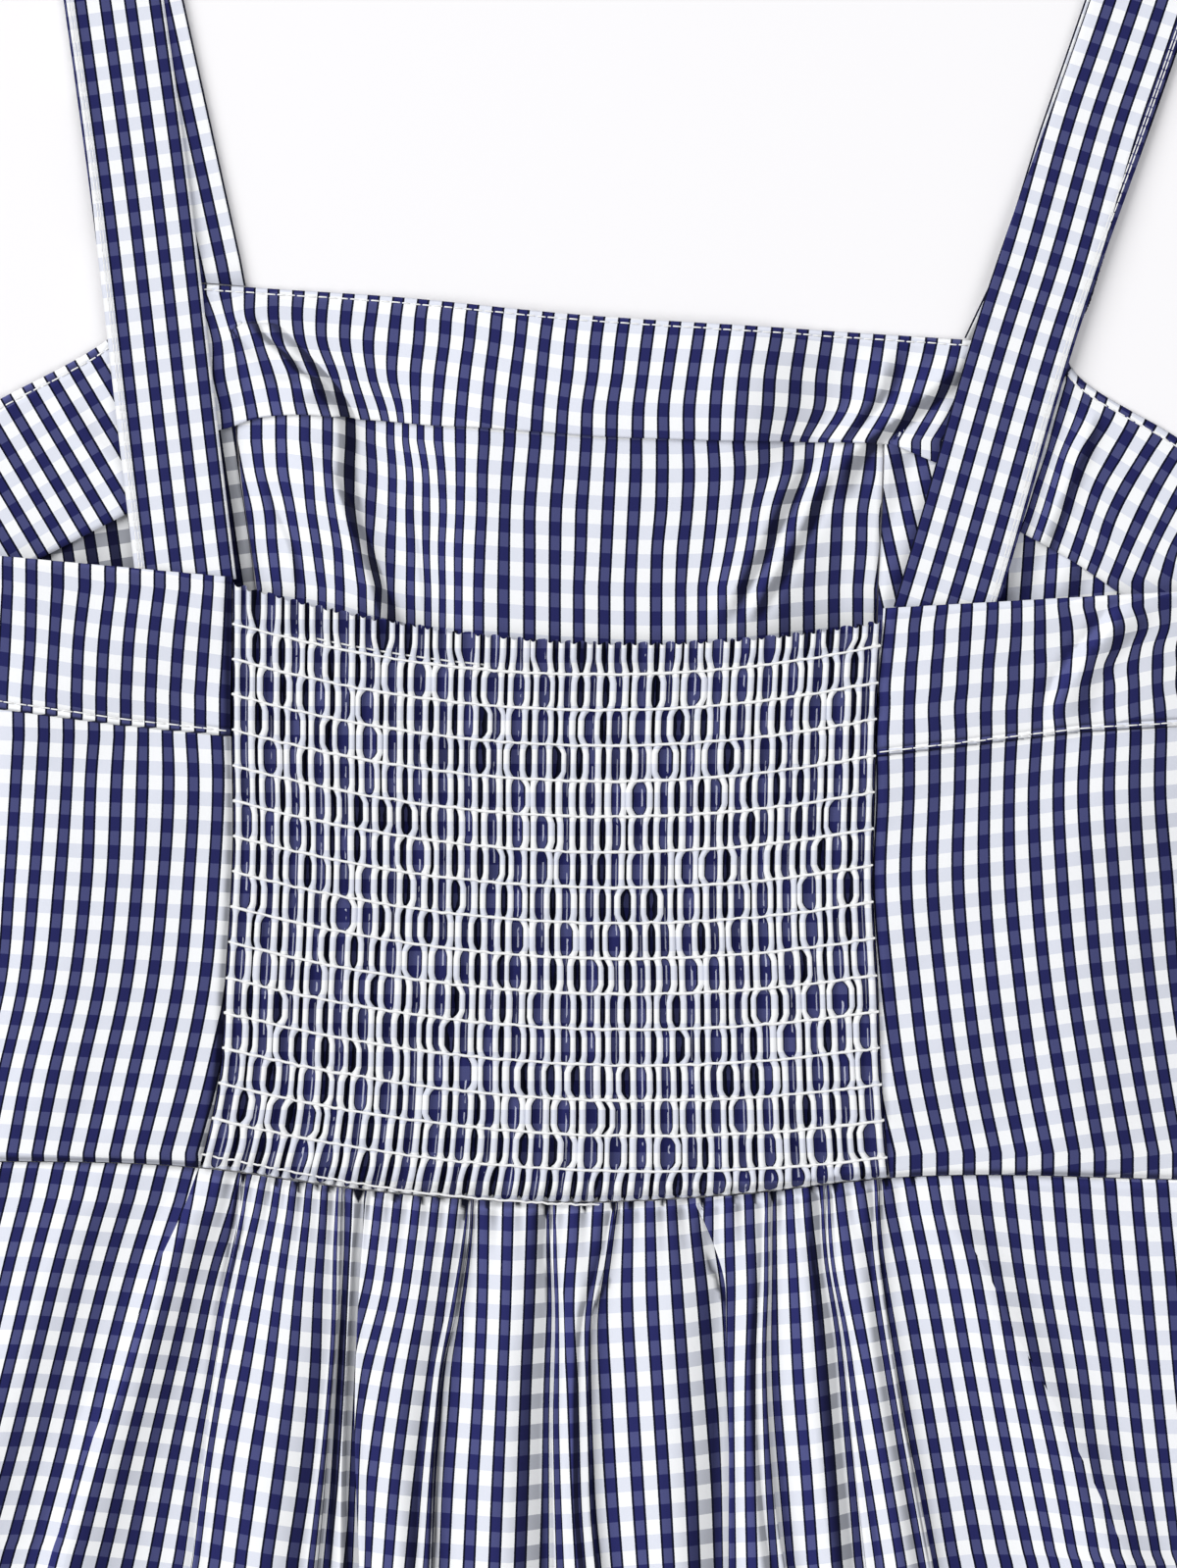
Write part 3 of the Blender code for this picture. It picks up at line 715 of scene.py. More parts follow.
def armhole_facing(name, node, armhole, start_y, underarm, away):
    run = np.array([abs(underarm[0] - bend(armhole, start_y)), start_y - underarm[1]])
    in_x, in_y = np.array([-away * run[1], -run[0]]) / np.hypot(*run) * ARMHOLE_FACING

    def place(a, b):
        edge_y = between(start_y, underarm[1] + 2, a)
        return bend(armhole, edge_y) + in_x * b, edge_y + in_y * b, 0 * a + CLOTH + LAY_GAP
    points = grid(np.linspace(0, 1, 70), np.linspace(0, 1, 40) ** 1.3, place)
    if away < 0:
        points = points[:, ::-1]
    in_from_edge = np.linspace(0, 1, points.shape[0])[:, None] ** 1.3 * ARMHOLE_FACING + 0 * points[..., 0]
    rolled = 1 - step(in_from_edge, 1.9, 2.1)
    points[..., 2] += 0.1 - 0.35 * bell(in_from_edge, 2.0, 0.5) - 0.5 * bell(in_from_edge, 0, 0.5)
    px, py = pixel(points[..., 0], points[..., 1])
    if away < 0:
        u = straight(px, py, *PHOTO_ARMHOLE_LEFT[0])
        v = straight(py, px, *PHOTO_ARMHOLE_LEFT[1])
        points[..., 2] += 0.9 * bell(px - 0.9 * (py - 430), 75, 14) * step(in_from_edge, 3, 15)
    else:
        u = stripe_number(PHOTO_ARMHOLE_RIGHT, PHOTO_ARMHOLE_RIGHT_NUMBERS,
                          points[..., 0], points[..., 1]) + 0.45 * rolled
        v = straight(py, px, *PHOTO_ARMHOLE_RIGHT_WEFT)
        points[..., 2] += 1.5 * bell(px + 0.42 * (py - 450), 1104, 9) * step(in_from_edge, 3, 12)
    EDGES[name] = points
    return cloth_piece(name, points, np.stack([u, v], -1), "gingham_inside", node)


# Back of the bodice

PHOTO_SIDE_LEFT_NUMBERS = range(-1, 11)
PHOTO_SIDE_LEFT = [
    (600, 11.5, 35.4, 62.2, 90, 115.7, 140.6, 165.5, 191.3, 215.2, 236.3, 262, 288),
    (657, 8.6, 34.4, 58.4, 83.2, 109, 134, 158.8, 184.6, 210.4, 234.4, 260, 286),
    (709, 5.7, 30.6, 55.5, 81.3, 106.2, 131, 156, 180.8, 206.6, 231.5, 257, 283),
    (751, -4, 22, 47.8, 72.7, 98.5, 124.4, 148.3, 173, 197, 223, 249, 275),
    (780, -5, 20, 46, 71.7, 95.7, 122.4, 147.7, 174, 199, 224, 250, 276),
    (900, -13, 12, 37, 63, 90, 116, 142, 168, 194, 219, 246, 272),
    (1000, -23, 3, 26, 52, 78, 104, 131, 157, 184, 210, 237, 263),
    (1100, -48, -22, 4, 28, 55, 82, 109, 136, 163, 190, 216, 243),
    (1175, -64, -38, -12, 14, 40, 66, 92, 119, 144, 170, 196, 222),
]
PHOTO_SIDE_RIGHT_NUMBERS = range(-1, 11)
PHOTO_SIDE_RIGHT = [
    (620, 908, 933, 959, 983, 1010, 1034, 1057, 1081, 1107, 1132, 1156, 1184),
    (640, 906, 930, 956, 982, 1009, 1034, 1057, 1084, 1112, 1137, 1162, 1184),
    (660, 904, 929, 955, 981, 1007, 1033, 1057, 1085, 1112, 1135, 1155, 1178),
    (680, 902, 927, 953, 980, 1005, 1031, 1058, 1085, 1108, 1126, 1152, 1177),
    (700, 900, 926, 952, 979, 1004, 1031, 1057, 1083, 1102, 1128, 1153, 1177),
    (720, 900, 925, 950, 977, 1003, 1029, 1056, 1077, 1102, 1128, 1153, 1179),
    (750, 898, 925, 951, 978, 1003, 1029, 1055, 1079, 1105, 1130, 1155, 1181),
    (800, 899, 925, 951, 977, 1002, 1027, 1052, 1077, 1102, 1128, 1154, 1180),
    (900, 896, 922, 949, 975, 1002, 1028, 1055, 1081, 1108, 1134, 1160, 1188),
    (1000, 904, 931, 958, 984, 1010, 1038, 1064, 1091, 1117, 1144, 1171, 1196),
    (1100, 917, 944, 972, 998, 1025, 1052, 1080, 1107, 1134, 1160, 1186, 1212),
    (1175, 933, 960, 987, 1014, 1040, 1067, 1094, 1120, 1148, 1175, 1200, 1226),
]


def side_drop(share):
    """How much of the back's height is left, from 1 at the shirred panel to 0 at the side seam."""
    return 1 - step(share, 0.45, 1.0)


def side_point(seam, top_inner, underarm, waist_side, away):
    def place(a, b):
        top = between(top_inner, underarm[1] - 1, a)
        inner_low = bend(seam, waist_y(0) + 6)
        low_x = between(inner_low, waist_side, a)
        y = between(top, waist_y(low_x) + SEAM_GAP / 2, b)
        inner = bend(seam, y) + away * SEAM_GAP
        outer = side_seam_x(underarm, waist_side, b) - away * 1.5
        x = between(inner, outer, a)
        over_front = CLOTH + LAY_GAP + 0.1
        low = over_front + (CLOTH + LAY_GAP) * step(y, 85, 118)
        z = low + (back_base(y) - low) * side_drop(a)
        return x, y, z
    return place


# Photo places of the stitched edge of the band along the top: rows of photo x, photo y
PHOTO_BAND_LEFT = [(-240, 693), (0, 722), (120, 738), (236, 750)]
PHOTO_BAND_RIGHT = [(890, 771), (1000, 758), (1100, 746), (1200, 740), (1420, 724)]
BAND_SPLIT = 750             # the rows of stripes above and below it meet at the band's edge
BAND_WEFT_PITCH, SIDE_WEFT_PITCH = 29.2, 28.9
# A weft stripe on the band, and one below it
PHOTO_SIDE_WEFTS = {
    "left": ([(-240, 638), (40, 678), (100, 688), (160, 695), (205, 702), (240, 707)],
             [(-240, 882), (40, 894), (100, 897), (160, 899), (205, 901), (240, 903)]),
    "right": ([(890, 714), (935, 711), (990, 705), (1050, 700), (1110, 691), (1165, 678), (1420, 640)],
              [(890, 1015), (935, 1010), (990, 1004), (1050, 997), (1110, 989), (1165, 983.5), (1420, 955)]),
}


def side_crease(px, py):
    """The crease that runs down the band on the right."""
    middle = bend([(600, 1146), (640, 1128), (670, 1102), (700, 1084), (760, 1074)], py)
    fade = step(py, 612, 640) * (1 - step(py, 705, 760))
    return fade * (1.5 * step(px, middle - 10, middle - 1) * (1 - step(px, middle + 2, middle + 42))
                   - 0.5 * bell(px, middle - 14, 8))


def back_side(name, node, seam, top_inner, underarm, waist_side, away, stripes, numbers, band, wefts):
    """Side back: from the shirred panel's seam to the side seam, turned under at its top edge."""
    place = side_point(seam, top_inner, underarm, waist_side, away)
    across = shares(100, (0, 0.08, 2))
    down = shares(190, (0, 0.04, 3), (0.24, 0.05, 5), (1, 0.03, 3))
    points = grid(across if away > 0 else across[::-1], down, place)
    x, y = points[..., 0], points[..., 1]
    a, b = np.meshgrid(across if away > 0 else across[::-1], down)
    depth = between(top_inner, underarm[1] - 1, a) - y
    # The turned hem at the top stands a little higher; a seam's edge dips where it is sewn
    px, py = pixel(x, y)
    past_band = (py - np.interp(px, *np.array(band).T)) * PIXEL
    hem = 0.75 * (1 - step(past_band, -0.15, 0.15)) - 0.3 * bell(past_band, -1.6, 0.5)
    rounded = -0.5 * bell(depth, 0, 0.7)
    sewn = -0.9 * bell(a, 0, 0.012) - 0.8 * bell(b, 1, 0.006)
    soft = 0.5 * wander((b, a), 3 if away > 0 else 4, (7, 4)) * step(b, 0.02, 0.1) * step(1 - b, 0.02, 0.1)
    points[..., 2] += 0.35 + hem + rounded + sewn + soft * side_drop(a)
    on_band = past_band < 0
    upper = [row for row in stripes if row[0] <= BAND_SPLIT]
    lower = [row for row in stripes if row[0] >= BAND_SPLIT]
    u = np.where(on_band, stripe_number(upper, numbers, x, y), stripe_number(lower, numbers, x, y))
    v_band = check_down(x, y, wefts[0], BAND_WEFT_PITCH)
    v_below = check_down(x, y, wefts[1], SIDE_WEFT_PITCH)
    v_below += np.round(np.median((v_band - v_below)[np.abs(past_band) < 2]))
    v = np.where(on_band, v_band, v_below)
    points[..., 2] += side_crease(px, py) * (away > 0)
    EDGES[name] = points
    return cloth_piece(name, points, np.stack([u, v], -1), "gingham", node)


def shirred_line_y(line, u):
    """Height of a row of elastic thread, counted from 0 at the top, at share u of the width."""
    left, middle, right = 153.4 - 9.685 * line, 139.6 - 9.685 * line, 147.4 - 10.02 * line
    return left * (1 - u) * (1 - 2 * u) + middle * 4 * u * (1 - u) + right * u * (2 * u - 1)


def shirred_top_y(u):
    return 164.2 * (1 - u) * (1 - 2 * u) + 148.5 * 4 * u * (1 - u) + 154.0 * u * (2 * u - 1)


PERIODS = 26                 # a narrow and a wide valley between two ridges: 6.9 mm of width
PERIOD = 25.5 * PIXEL
SHIRRING_ROWS = 15
CELL_ROWS = 8                # rows of points between two threads
PLEAT = (
    # (repeat of the check, share of the period's width, height over the plain inside)
    (0.00, 0.000, -0.30),
    (0.12, 0.045, 0.00),
    (0.25, 0.092, 2.50),
    (0.37, 0.135, 3.15),
    (0.50, 0.212, 3.40),
    (0.63, 0.290, 3.20),
    (0.75, 0.332, 2.50),
    (0.88, 0.380, 0.90),
    (1.00, 0.500, 1.30),
    (1.12, 0.620, 0.90),
    (1.25, 0.668, 2.50),
    (1.37, 0.710, 3.20),
    (1.50, 0.788, 3.40),
    (1.63, 0.865, 3.15),
    (1.75, 0.908, 2.50),
    (1.88, 0.955, 0.00),
)
WANDER = 2.1 * PIXEL         # how far ridges stray between two threads
LEAST_GAP = 7.2 * PIXEL      # between the middles of two ridges
THREAD_RADIUS = 0.41
PHOTO_DOUBLE = (318, 500)    # photo x between which the first row of thread runs double
DOUBLE_RADIUS = 0.26


def stray(chance, count):
    """Offsets of the ridges from their even places, no two of them closer than LEAST_GAP."""
    even = np.arange(count) * PERIOD / 2
    places = even + np.clip(chance.standard_t(4, count) * WANDER * 0.75, -2.2 * WANDER, 2.2 * WANDER)
    places[[0, -1]] = even[[0, -1]]
    for _ in range(30):
        short = np.maximum(LEAST_GAP - np.diff(places), 0) / 2
        places[:-1] -= short
        places[1:] += short
    return places - even


def shirred_cells():
    """The cells between threads, from the ruffle at the top to the waist seam."""
    chance = np.random.default_rng(23)
    count = 2 * PERIODS
    cells = []
    for _ in range(SHIRRING_ROWS + 1):
        cells.append({
            "stray": stray(chance, count),
            "fat": np.clip(chance.normal(1.0, 0.22, count), 0.55, 1.5),
            "tall": chance.uniform(0.82, 1.08, count),
            "floor": chance.uniform(-0.5, 0.9, count),
            "crease": chance.uniform(-0.25, 0.25, count),
        })
    return cells


def back_shirred():
    repeat, spread, rise = np.array(PLEAT).T
    number = np.arange(PERIODS)
    u = np.append((number[:, None] * 2 + repeat).ravel(), PERIODS * 2)
    share = np.append(((number[:, None] + spread) / PERIODS).ravel(), 1.0)
    rise = np.append(np.tile(rise, PERIODS), rise[0])
    ridge = np.round(u - 0.5).astype(int).clip(0, 2 * PERIODS - 1)
    valley = np.round(u).astype(int).clip(0, 2 * PERIODS - 1)
    off_ridge = u - 0.5 - ridge
    on_ridge = 1 - step(np.abs(off_ridge), 0.26, 0.5)
    in_valley = 1 - step(np.abs(u - valley), 0.05, 0.3)
    wide = (valley % 2).astype(float)
    cells = shirred_cells()
    rows, cloth, places = [], [], []
    for k, cell in enumerate(cells):
        parts = CELL_ROWS + 1 if k == len(cells) - 1 else CELL_ROWS
        for part in range(parts):
            t = part / CELL_ROWS
            if k == 0:
                # The ruffle stands free over the first thread
                start, end = shirred_top_y(share), shirred_line_y(0, share)
                start = start + 0.55 * np.cos(2 * np.pi * u)
                free = 1 - step(t, 0.45, 1)
            elif k == len(cells) - 1:
                start = shirred_line_y(k - 1, share)
                end = waist_y(between(SHIRRED_LEFT[0][1], SHIRRED_RIGHT[0][1], share)) + SEAM_GAP / 2
                free = math.sin(math.pi * min(t, 0.72))
            else:
                start, end = shirred_line_y(k - 1, share), shirred_line_y(k, share)
                free = min(1.0, 1.5 * math.sin(math.pi * t)) if 0 < part else 0.0
            y = between(start, end, t)
            left, right = bend(SHIRRED_LEFT, y[0]), bend(SHIRRED_RIGHT, y[-1])
            x = between(left, right, share)
            fat = between(1.0, cell["fat"][ridge], free)
            x = x + off_ridge * on_ridge * (fat - 1) * 0.45 * PERIOD / 2
            x = x + cell["stray"][ridge] * on_ridge * free
            height = rise * between(1.0, cell["tall"][ridge], free)
            pinched = between(1.35, height, 0.55)
            height = between(pinched, height, free)
            height = height + in_valley * wide * free * cell["floor"][valley]
            ripple = np.sin(9 * (u - valley + cell["crease"][valley]))
            height = height + 0.5 * in_valley * wide * free * ripple
            if k == len(cells) - 1:
                height = height - 2.9 * step(t, 0.6, 1.0)
            if k == 0:
                height = height + 0.5 * free
            x = np.clip(x, left, right)
            rows.append(np.stack([x, y, back_base(y) + height], axis=-1))
            cloth.append(np.stack([u, (at(0, 640)[1] - y) / CHECK_LONG], axis=-1))
            places.append(np.stack([u, k + t + 0 * u], axis=-1))
    points, cloth = np.array(rows), np.array(cloth)
    piece = cloth_piece("back_shirred_cloth", points, cloth, "gingham_shirred", "back_shirred",
                        wall=None)
    add_map(piece, "cells", np.array(places))
    EDGES["back_shirred_cloth"] = points
    chance = np.random.default_rng(5)
    tubes = []
    for row in range(SHIRRING_ROWS):
        line = points[(row + 1) * CELL_ROWS]
        over = back_base(line[:, 1]) + 2.35
        spots = np.stack([line[:, 0], line[:, 1], np.maximum(line[:, 2], over) + 0.1], axis=-1)
        spots = spots[::4]
        spots[:, 1] += 0.1 * chance.normal(0, 1, len(spots))
        spots[0, 2] -= 1.0
        spots[-1, 2] -= 1.0
        tubes.append(tube(spots, THREAD_RADIUS * chance.uniform(0.7, 1.12, len(spots)), 6, 0.8))
    # The first row runs double for a stretch
    line = points[CELL_ROWS - 1]
    start, end = at(PHOTO_DOUBLE, 0)[0]
    part = (line[:, 0] > start) & (line[:, 0] < end)
    spots = line[part][::4] + (0, 0.2, 0.2)
    spots[[0, -1], 2] -= 1.0
    tubes.append(tube(spots, DOUBLE_RADIUS, 6, 0.8))
    return piece, thread_piece("shirring_threads", tubes)


# Straps

STRAPS = {
    # side: (front foot, shoulder, back foot)
    "left": ((-100.2, 247.6), (-130.5, 385.0), (-102.0, 164.0)),
    "right": ((126.0, 231.2), (180.0, 385.0), (105.0, 154.0)),
}
STRAP_STRIPE = 25.1 * PIXEL
# How far a strap bows to the side, and where on its way from the shoulder to the back
STRAP_BOW = {"left": (0.9, 0.5), "right": (-2.6, 0.62)}
STRAP_PHASE = {"left": 0.34, "right": 0.79}
STRAP_UNDER_SHIFT = {"left": 0.44, "right": 0.0}    # how far the front run's stripes are moved on
STRAP_DRIFT = {"left": 0.0, "right": 0.44}          # how far the stripes move towards the shoulder
STRAP_WRAP = {"left": 0.62, "right": 0.3}           # how far the check turns round the outer edge
STRAP_PEEK = {"left": 0.0, "right": 1.9}            # how far the front run shows past the back run
# Photo place of a weft stripe, and the stripes' pitch in millimetres
STRAP_WEFT = {"left": ((150, 211), 7.45), "right": ((1050, 344), 7.3)}


# Rows of points on a strap's front run, its turn at the shoulder and its back run
FRONT_ROWS, TURN_ROWS, BACK_ROWS = 40, 13, 150
BACK_START = FRONT_ROWS + TURN_ROWS


def strap_path(side):
    front, fold, back = (np.array([*spot, 0.0]) for spot in STRAPS[side])
    turn = (STRAP_THICK + LAY_GAP) / 2
    tucked = back_base(back[1]) - LAY_GAP - STRAP_THICK - 0.2
    lie = [(0, 2 * turn), (0.35, 2 * turn), (0.56, 2.9), (0.7, 3.1), (0.86, 4.2), (1, tucked)]
    path = [between(front, fold, share) for share in np.linspace(0, 0.97, FRONT_ROWS)]
    for angle in np.linspace(0, np.pi, TURN_ROWS):
        out = turn * np.sin(angle)
        path.append(fold + np.array([0, out, turn * (1 - np.cos(angle))]))
    for share in np.linspace(0.02, 1, BACK_ROWS):
        spot = between(fold, back, share)
        spot[2] = bend(lie, share)
        path.append(spot)
    path = np.array(path)
    lying = np.clip((np.arange(len(path)) - BACK_START) / BACK_ROWS, 0, 1)
    path[:, 0] += STRAP_BOW[side][0] * bell(lying, STRAP_BOW[side][1], 0.24)
    rising = np.linspace(0, 1, FRONT_ROWS)
    path[:FRONT_ROWS, 0] += STRAP_PEEK[side] * np.interp(rising, (0, 0.1, 0.35, 1), (0, 1, 0.15, 0))
    front_way = (fold - front)[:2] / np.hypot(*(fold - front)[:2])
    back_way = (fold - back)[:2] / np.hypot(*(fold - back)[:2])
    turning = np.clip((np.arange(len(path)) - FRONT_ROWS + 1) / 15, 0, 1)[:, None]
    way = between(front_way, back_way, turning)
    way /= np.hypot(way[:, 0], way[:, 1])[:, None]
    across = np.stack([way[:, 1], -way[:, 0], 0 * way[:, 0]], axis=1)
    foot = bend(NECK_EDGE, front[0] + 5) - bend(NECK_EDGE, front[0] - 5)
    across[0] = np.array([1, foot / 10, 0]) / abs(front_way[1])
    return path, across


def strap(side):
    path, across = strap_path(side)
    half = STRAP_WIDTH / 2 + 0.2
    columns = np.linspace(-1, 1, 26)
    run = np.concatenate([[0], np.cumsum(np.linalg.norm(np.diff(path, axis=0), axis=1))])
    points = path[:, None] + across[:, None] * half * columns[None, :, None]
    flip = np.arange(len(path)) >= FRONT_ROWS + TURN_ROWS // 2
    facing = np.where(flip, 1, -1)[:, None]
    points[..., 2] += STRAP_THICK / 2 + 0.15 * facing
    plain = columns[None, :] * half / STRAP_STRIPE + 0 * points[..., 0]
    u = plain + STRAP_PHASE[side]
    order = np.arange(len(path))
    u += STRAP_UNDER_SHIFT[side] * (1 - step(order, 24, 78))[:, None]
    u += STRAP_DRIFT[side] * (1 - step(order, 106, 142))[:, None]
    if side == "left":
        u[:, 0] -= STRAP_WRAP[side] * (1 - step(order, 100, 146))
    else:
        u[:, -1] = np.minimum(u[:, -1] + STRAP_WRAP[side], np.maximum(u[:, -1], 3.1))
    spot, pitch = STRAP_WEFT[side]
    away = np.hypot(*(path[BACK_START + 1:, :2] - at(*spot)).T)
    v = np.repeat(((run - run[BACK_START + 1 + int(away.argmin())]) / pitch)[:, None], len(columns), axis=1)
    edge = 1 - np.abs(columns)[None, :] * np.ones_like(u)
    points[..., 2] += (-0.25 * bell(edge * half, 0, 0.5) - 0.12 * bell(edge * half, 1.6, 0.4)) * facing
    cloth = np.stack([u, v], -1)
    piece = cloth_piece("strap_" + side + "_cloth", points[::-1], cloth[::-1], "gingham",
                        "strap_" + side, wall=1.0)
    EDGES["strap_" + side] = points[BACK_START + 1:]
    return piece


# Skirt

# Photo places down each fold's edge, as (x, y); higher is +1 where the cloth lies higher on the
# right of it and -1 on the left; tuck is the cloth hidden under the edge, in millimetres
PHOTO_FOLDS = {
    "b": (((248, 1204), (246, 1236), (239, 1293), (229, 1350), (222, 1408), (215, 1465), (205, 1551),
           (200, 1599)), 1, 1.2),
    "d": (((348, 1210), (347, 1250), (345, 1326), (337, 1430), (322, 1599)), -1, 1.0),
    "m": (((374, 1210), (371, 1250), (366, 1326), (363, 1443), (368, 1590)), 1, 2.4),
    "e": (((480, 1210), (479, 1228), (463, 1326), (452, 1371), (444, 1443), (437, 1599)), -1, 1.0),
    "f": (((561, 1212), (563, 1260), (566, 1297), (564, 1443), (567, 1599)), 1, 1.6),
    "g": (((628, 1210), (615, 1275), (603.7, 1318), (600, 1389), (600.4, 1444), (602, 1526),
           (610.5, 1599)), -1, 1.8),
    "h": (((710, 1212), (724, 1244), (739, 1293), (740.5, 1334), (743, 1430), (743, 1599)), 1, 2.0),
    "i": (((785, 1210), (783, 1290), (780, 1360), (782, 1443), (792.5, 1553), (800, 1599)), -1, 1.6),
    "j": (((842, 1210), (844.5, 1279), (859.6, 1362), (866.4, 1444), (874.6, 1526), (882.8, 1599)), 1, 1.6),
    "k": (((895, 1205), (895, 1280), (904.7, 1362), (918.4, 1444), (934.8, 1526), (948.5, 1599)), -1, 1.6),
}
# Where each fold's edge meets the hem
FOLD_HEM_X = {"b": -195, "d": -128, "m": -96, "e": -60, "f": -14,
              "g": 24, "h": 66, "i": 100, "j": 150, "k": 198}
PHOTO_RIDGE_LEFT = ((203, 1205), (188, 1247), (157, 1317), (137, 1373), (118, 1426), (92, 1496), (55, 1599))
PHOTO_RIDGE_RIGHT = ((952, 1205), (973, 1247), (1012, 1317), (1032, 1362), (1060, 1412), (1082, 1454),
                     (1110, 1510), (1150, 1599))
RIDGE_HEM_X = (-300, 300)
# Photo x of numbered navy stripes in each stretch of cloth between two folds, at these photo y
PHOTO_SKIRT_LEVELS = (1240, 1300, 1400, 1500, 1590)
PHOTO_SKIRT = (
    # One tuple a stretch, from the left: (number, then x at each level) for each guide stripe
    ((-3, 54, 38, 14, -11, -36), (0, 132, 114, 88, 64, 40)),
    ((0, 216, 201, 178, 155, 136), (1, 240, 221, 199, 178, 161)),
    ((0, 280, 269, 252, 234, 222), (3, 330, 326, 322, 313, 300)),
    ((0, 353, 350, 346, 340, 332), (1, 378, 375, 371, 365, 357)),
    ((0, 422, 414, 394, 380, 374), (2, 460, 452, 439, 427, 418)),
    ((-1, 493, 492, 488, 482, 478), (1, 542, 540, 536, 533, 530)),
    ((0, 584, 580, 584, 588, 593), (1, 608, 604, 609, 613, 618)),
    ((0, 640, 639, 644, 650, 656), (2, 686, 690, 697, 704, 708)),
    ((0, 764, 766, 764, 764, 766), (1, 785, 788, 787, 787, 790)),
    ((-1, 787, 787, 789, 797, 804), (1, 824, 830, 838, 846, 852)),
    ((0, 858, 866, 884, 901, 916), (1, 880, 891, 906, 922, 938)),
    ((0, 908, 920, 938, 955, 970), (3, 979, 992, 1010, 1029, 1048), (6, 1054, 1063, 1076, 1098, 1114)),
    ((5, 1030, 1038, 1056, 1076, 1088), (7, 1080, 1086, 1102, 1115, 1136),
     (10, 1160, 1166, 1176, 1187, 1198)),
)
FOLD_RISE = ((0.0, 1.5), (-12.0, 2.6), (-40.0, 4.0), (-106.0, 5.4), (-690.0, 9.5))


def fold_line(places, hem_x, y):
    """x of a fold's edge at height y, from its photo places and its end at the hem."""
    px, py = np.array(places, float).T
    x, known = at(px, py)
    table = list(zip(known, x))[::-1]
    last_x, last_y = x[-1], known[-1]
    inside = bend(table, y)
    outside = between(last_x, hem_x, np.clip((last_y - y) / (last_y - HEM_LOW), 0, 1))
    return np.where(y < last_y, outside, inside)


def skirt_edges(b, inset=0.0):
    return between(WAIST_LEFT, -HEM_HALF, b) + inset, between(WAIST_RIGHT, HEM_HALF, b) - inset


FOLD_COLUMNS = 17
STRETCH_COLUMNS = 25
FOLDS = list(PHOTO_FOLDS)
# Photo x, then the photo y of weft stripes 0, 5 and 9 there
PHOTO_SKIRT_WEFT = [
    (40, 1288, 1436, 1556), (110, 1293, 1442, 1563), (180, 1298, 1449, 1571), (250, 1306, 1460, 1584),
    (300, 1316, 1469, 1592), (400, 1328, 1481, 1605), (450, 1333, 1487, 1611), (520, 1337, 1491, 1614),
    (590, 1333, 1486, 1608), (660, 1328, 1480, 1600), (700, 1325, 1476, 1597), (760, 1315, 1469, 1592),
    (820, 1308, 1464, 1587), (880, 1298, 1453, 1578), (930, 1291, 1444, 1568), (990, 1290, 1440, 1561),
    (1060, 1297, 1443, 1562), (1130, 1301, 1450, 1569), (1170, 1303, 1454, 1572),
]
SKIRT_WEFT_PITCH = 30


def skirt_check_down(x, y):
    px, py = pixel(x, y)
    table = np.array(PHOTO_SKIRT_WEFT, float)
    lines = [np.interp(px, table[:, 0], table[:, k]) for k in (1, 2, 3)]
    above = (py - lines[0]) / SKIRT_WEFT_PITCH
    upper = 5 * (py - lines[0]) / (lines[1] - lines[0])
    lower = 5 + 4 * (py - lines[1]) / (lines[2] - lines[1])
    below = 9 + (py - lines[2]) / SKIRT_WEFT_PITCH
    v = np.where(py < lines[0], above, upper)
    v = np.where(py > lines[1], lower, v)
    return np.where(py > lines[2], below, v)


FIRST_LEVEL = at(0, PHOTO_SKIRT_LEVELS[0])[1]
SECOND_LEVEL = at(0, PHOTO_SKIRT_LEVELS[1])[1]
STRIPE_LEVEL = at(0, PHOTO_SKIRT_LEVELS[-1])[1]      # the lowest guide stripes
EVEN_LEVEL = -240.0          # from here down the stripes between the ridges are evenly spaced
# The cloth swells softly beside the left ridge
SWELL_AWAY = 29.0
SWELL_WIDTH = 13.0
# Deep shadow beside a fold: photo x, y at both ends, then width in photo pixels
PHOTO_SHADOWS = (
    (718, 1232, 741, 1326, 5.0), (476, 1212, 465, 1330, 4.5), (352, 1280, 334, 1640, 5.0),
    (624, 1262, 603, 1322, 3.2), (602, 1322, 601, 1445, 2.6), (601, 1445, 614, 1640, 3.2),
    (823, 1205, 838, 1380, 3.0), (559, 1214, 558, 1330, 3.5), (893, 1225, 908, 1380, 2.6),
    (908, 1380, 952, 1640, 2.6), (250, 1210, 231, 1345, 2.8), (452, 1371, 440, 1640, 3.0),
)
# Painted shade in the gaps between gathers at the waist seam: photo x, width in photo pixels, depth down in
# millimetres
PHOTO_GAPS = (
    (249, 4, 1.3), (283, 3, 0.8), (305, 6, 1.5), (323, 3, 0.9), (337, 4, 1.1), (366, 8, 1.9), (384, 3, 0.8),
    (404, 5, 1.6), (430, 4, 1.2), (449, 3, 0.8), (474, 6, 4.5), (497, 3, 0.7), (528, 3, 0.7), (557, 5, 3.0),
    (596, 5, 1.2), (625, 4, 1.6), (643, 4, 1.8), (676, 3, 0.8), (716, 4, 2.0), (748, 3, 0.9), (769, 4, 1.4),
    (788, 5, 2.2), (826, 3, 1.0), (851, 4, 1.5), (879, 3, 1.1), (903, 5, 1.8), (930, 4, 1.3),
)


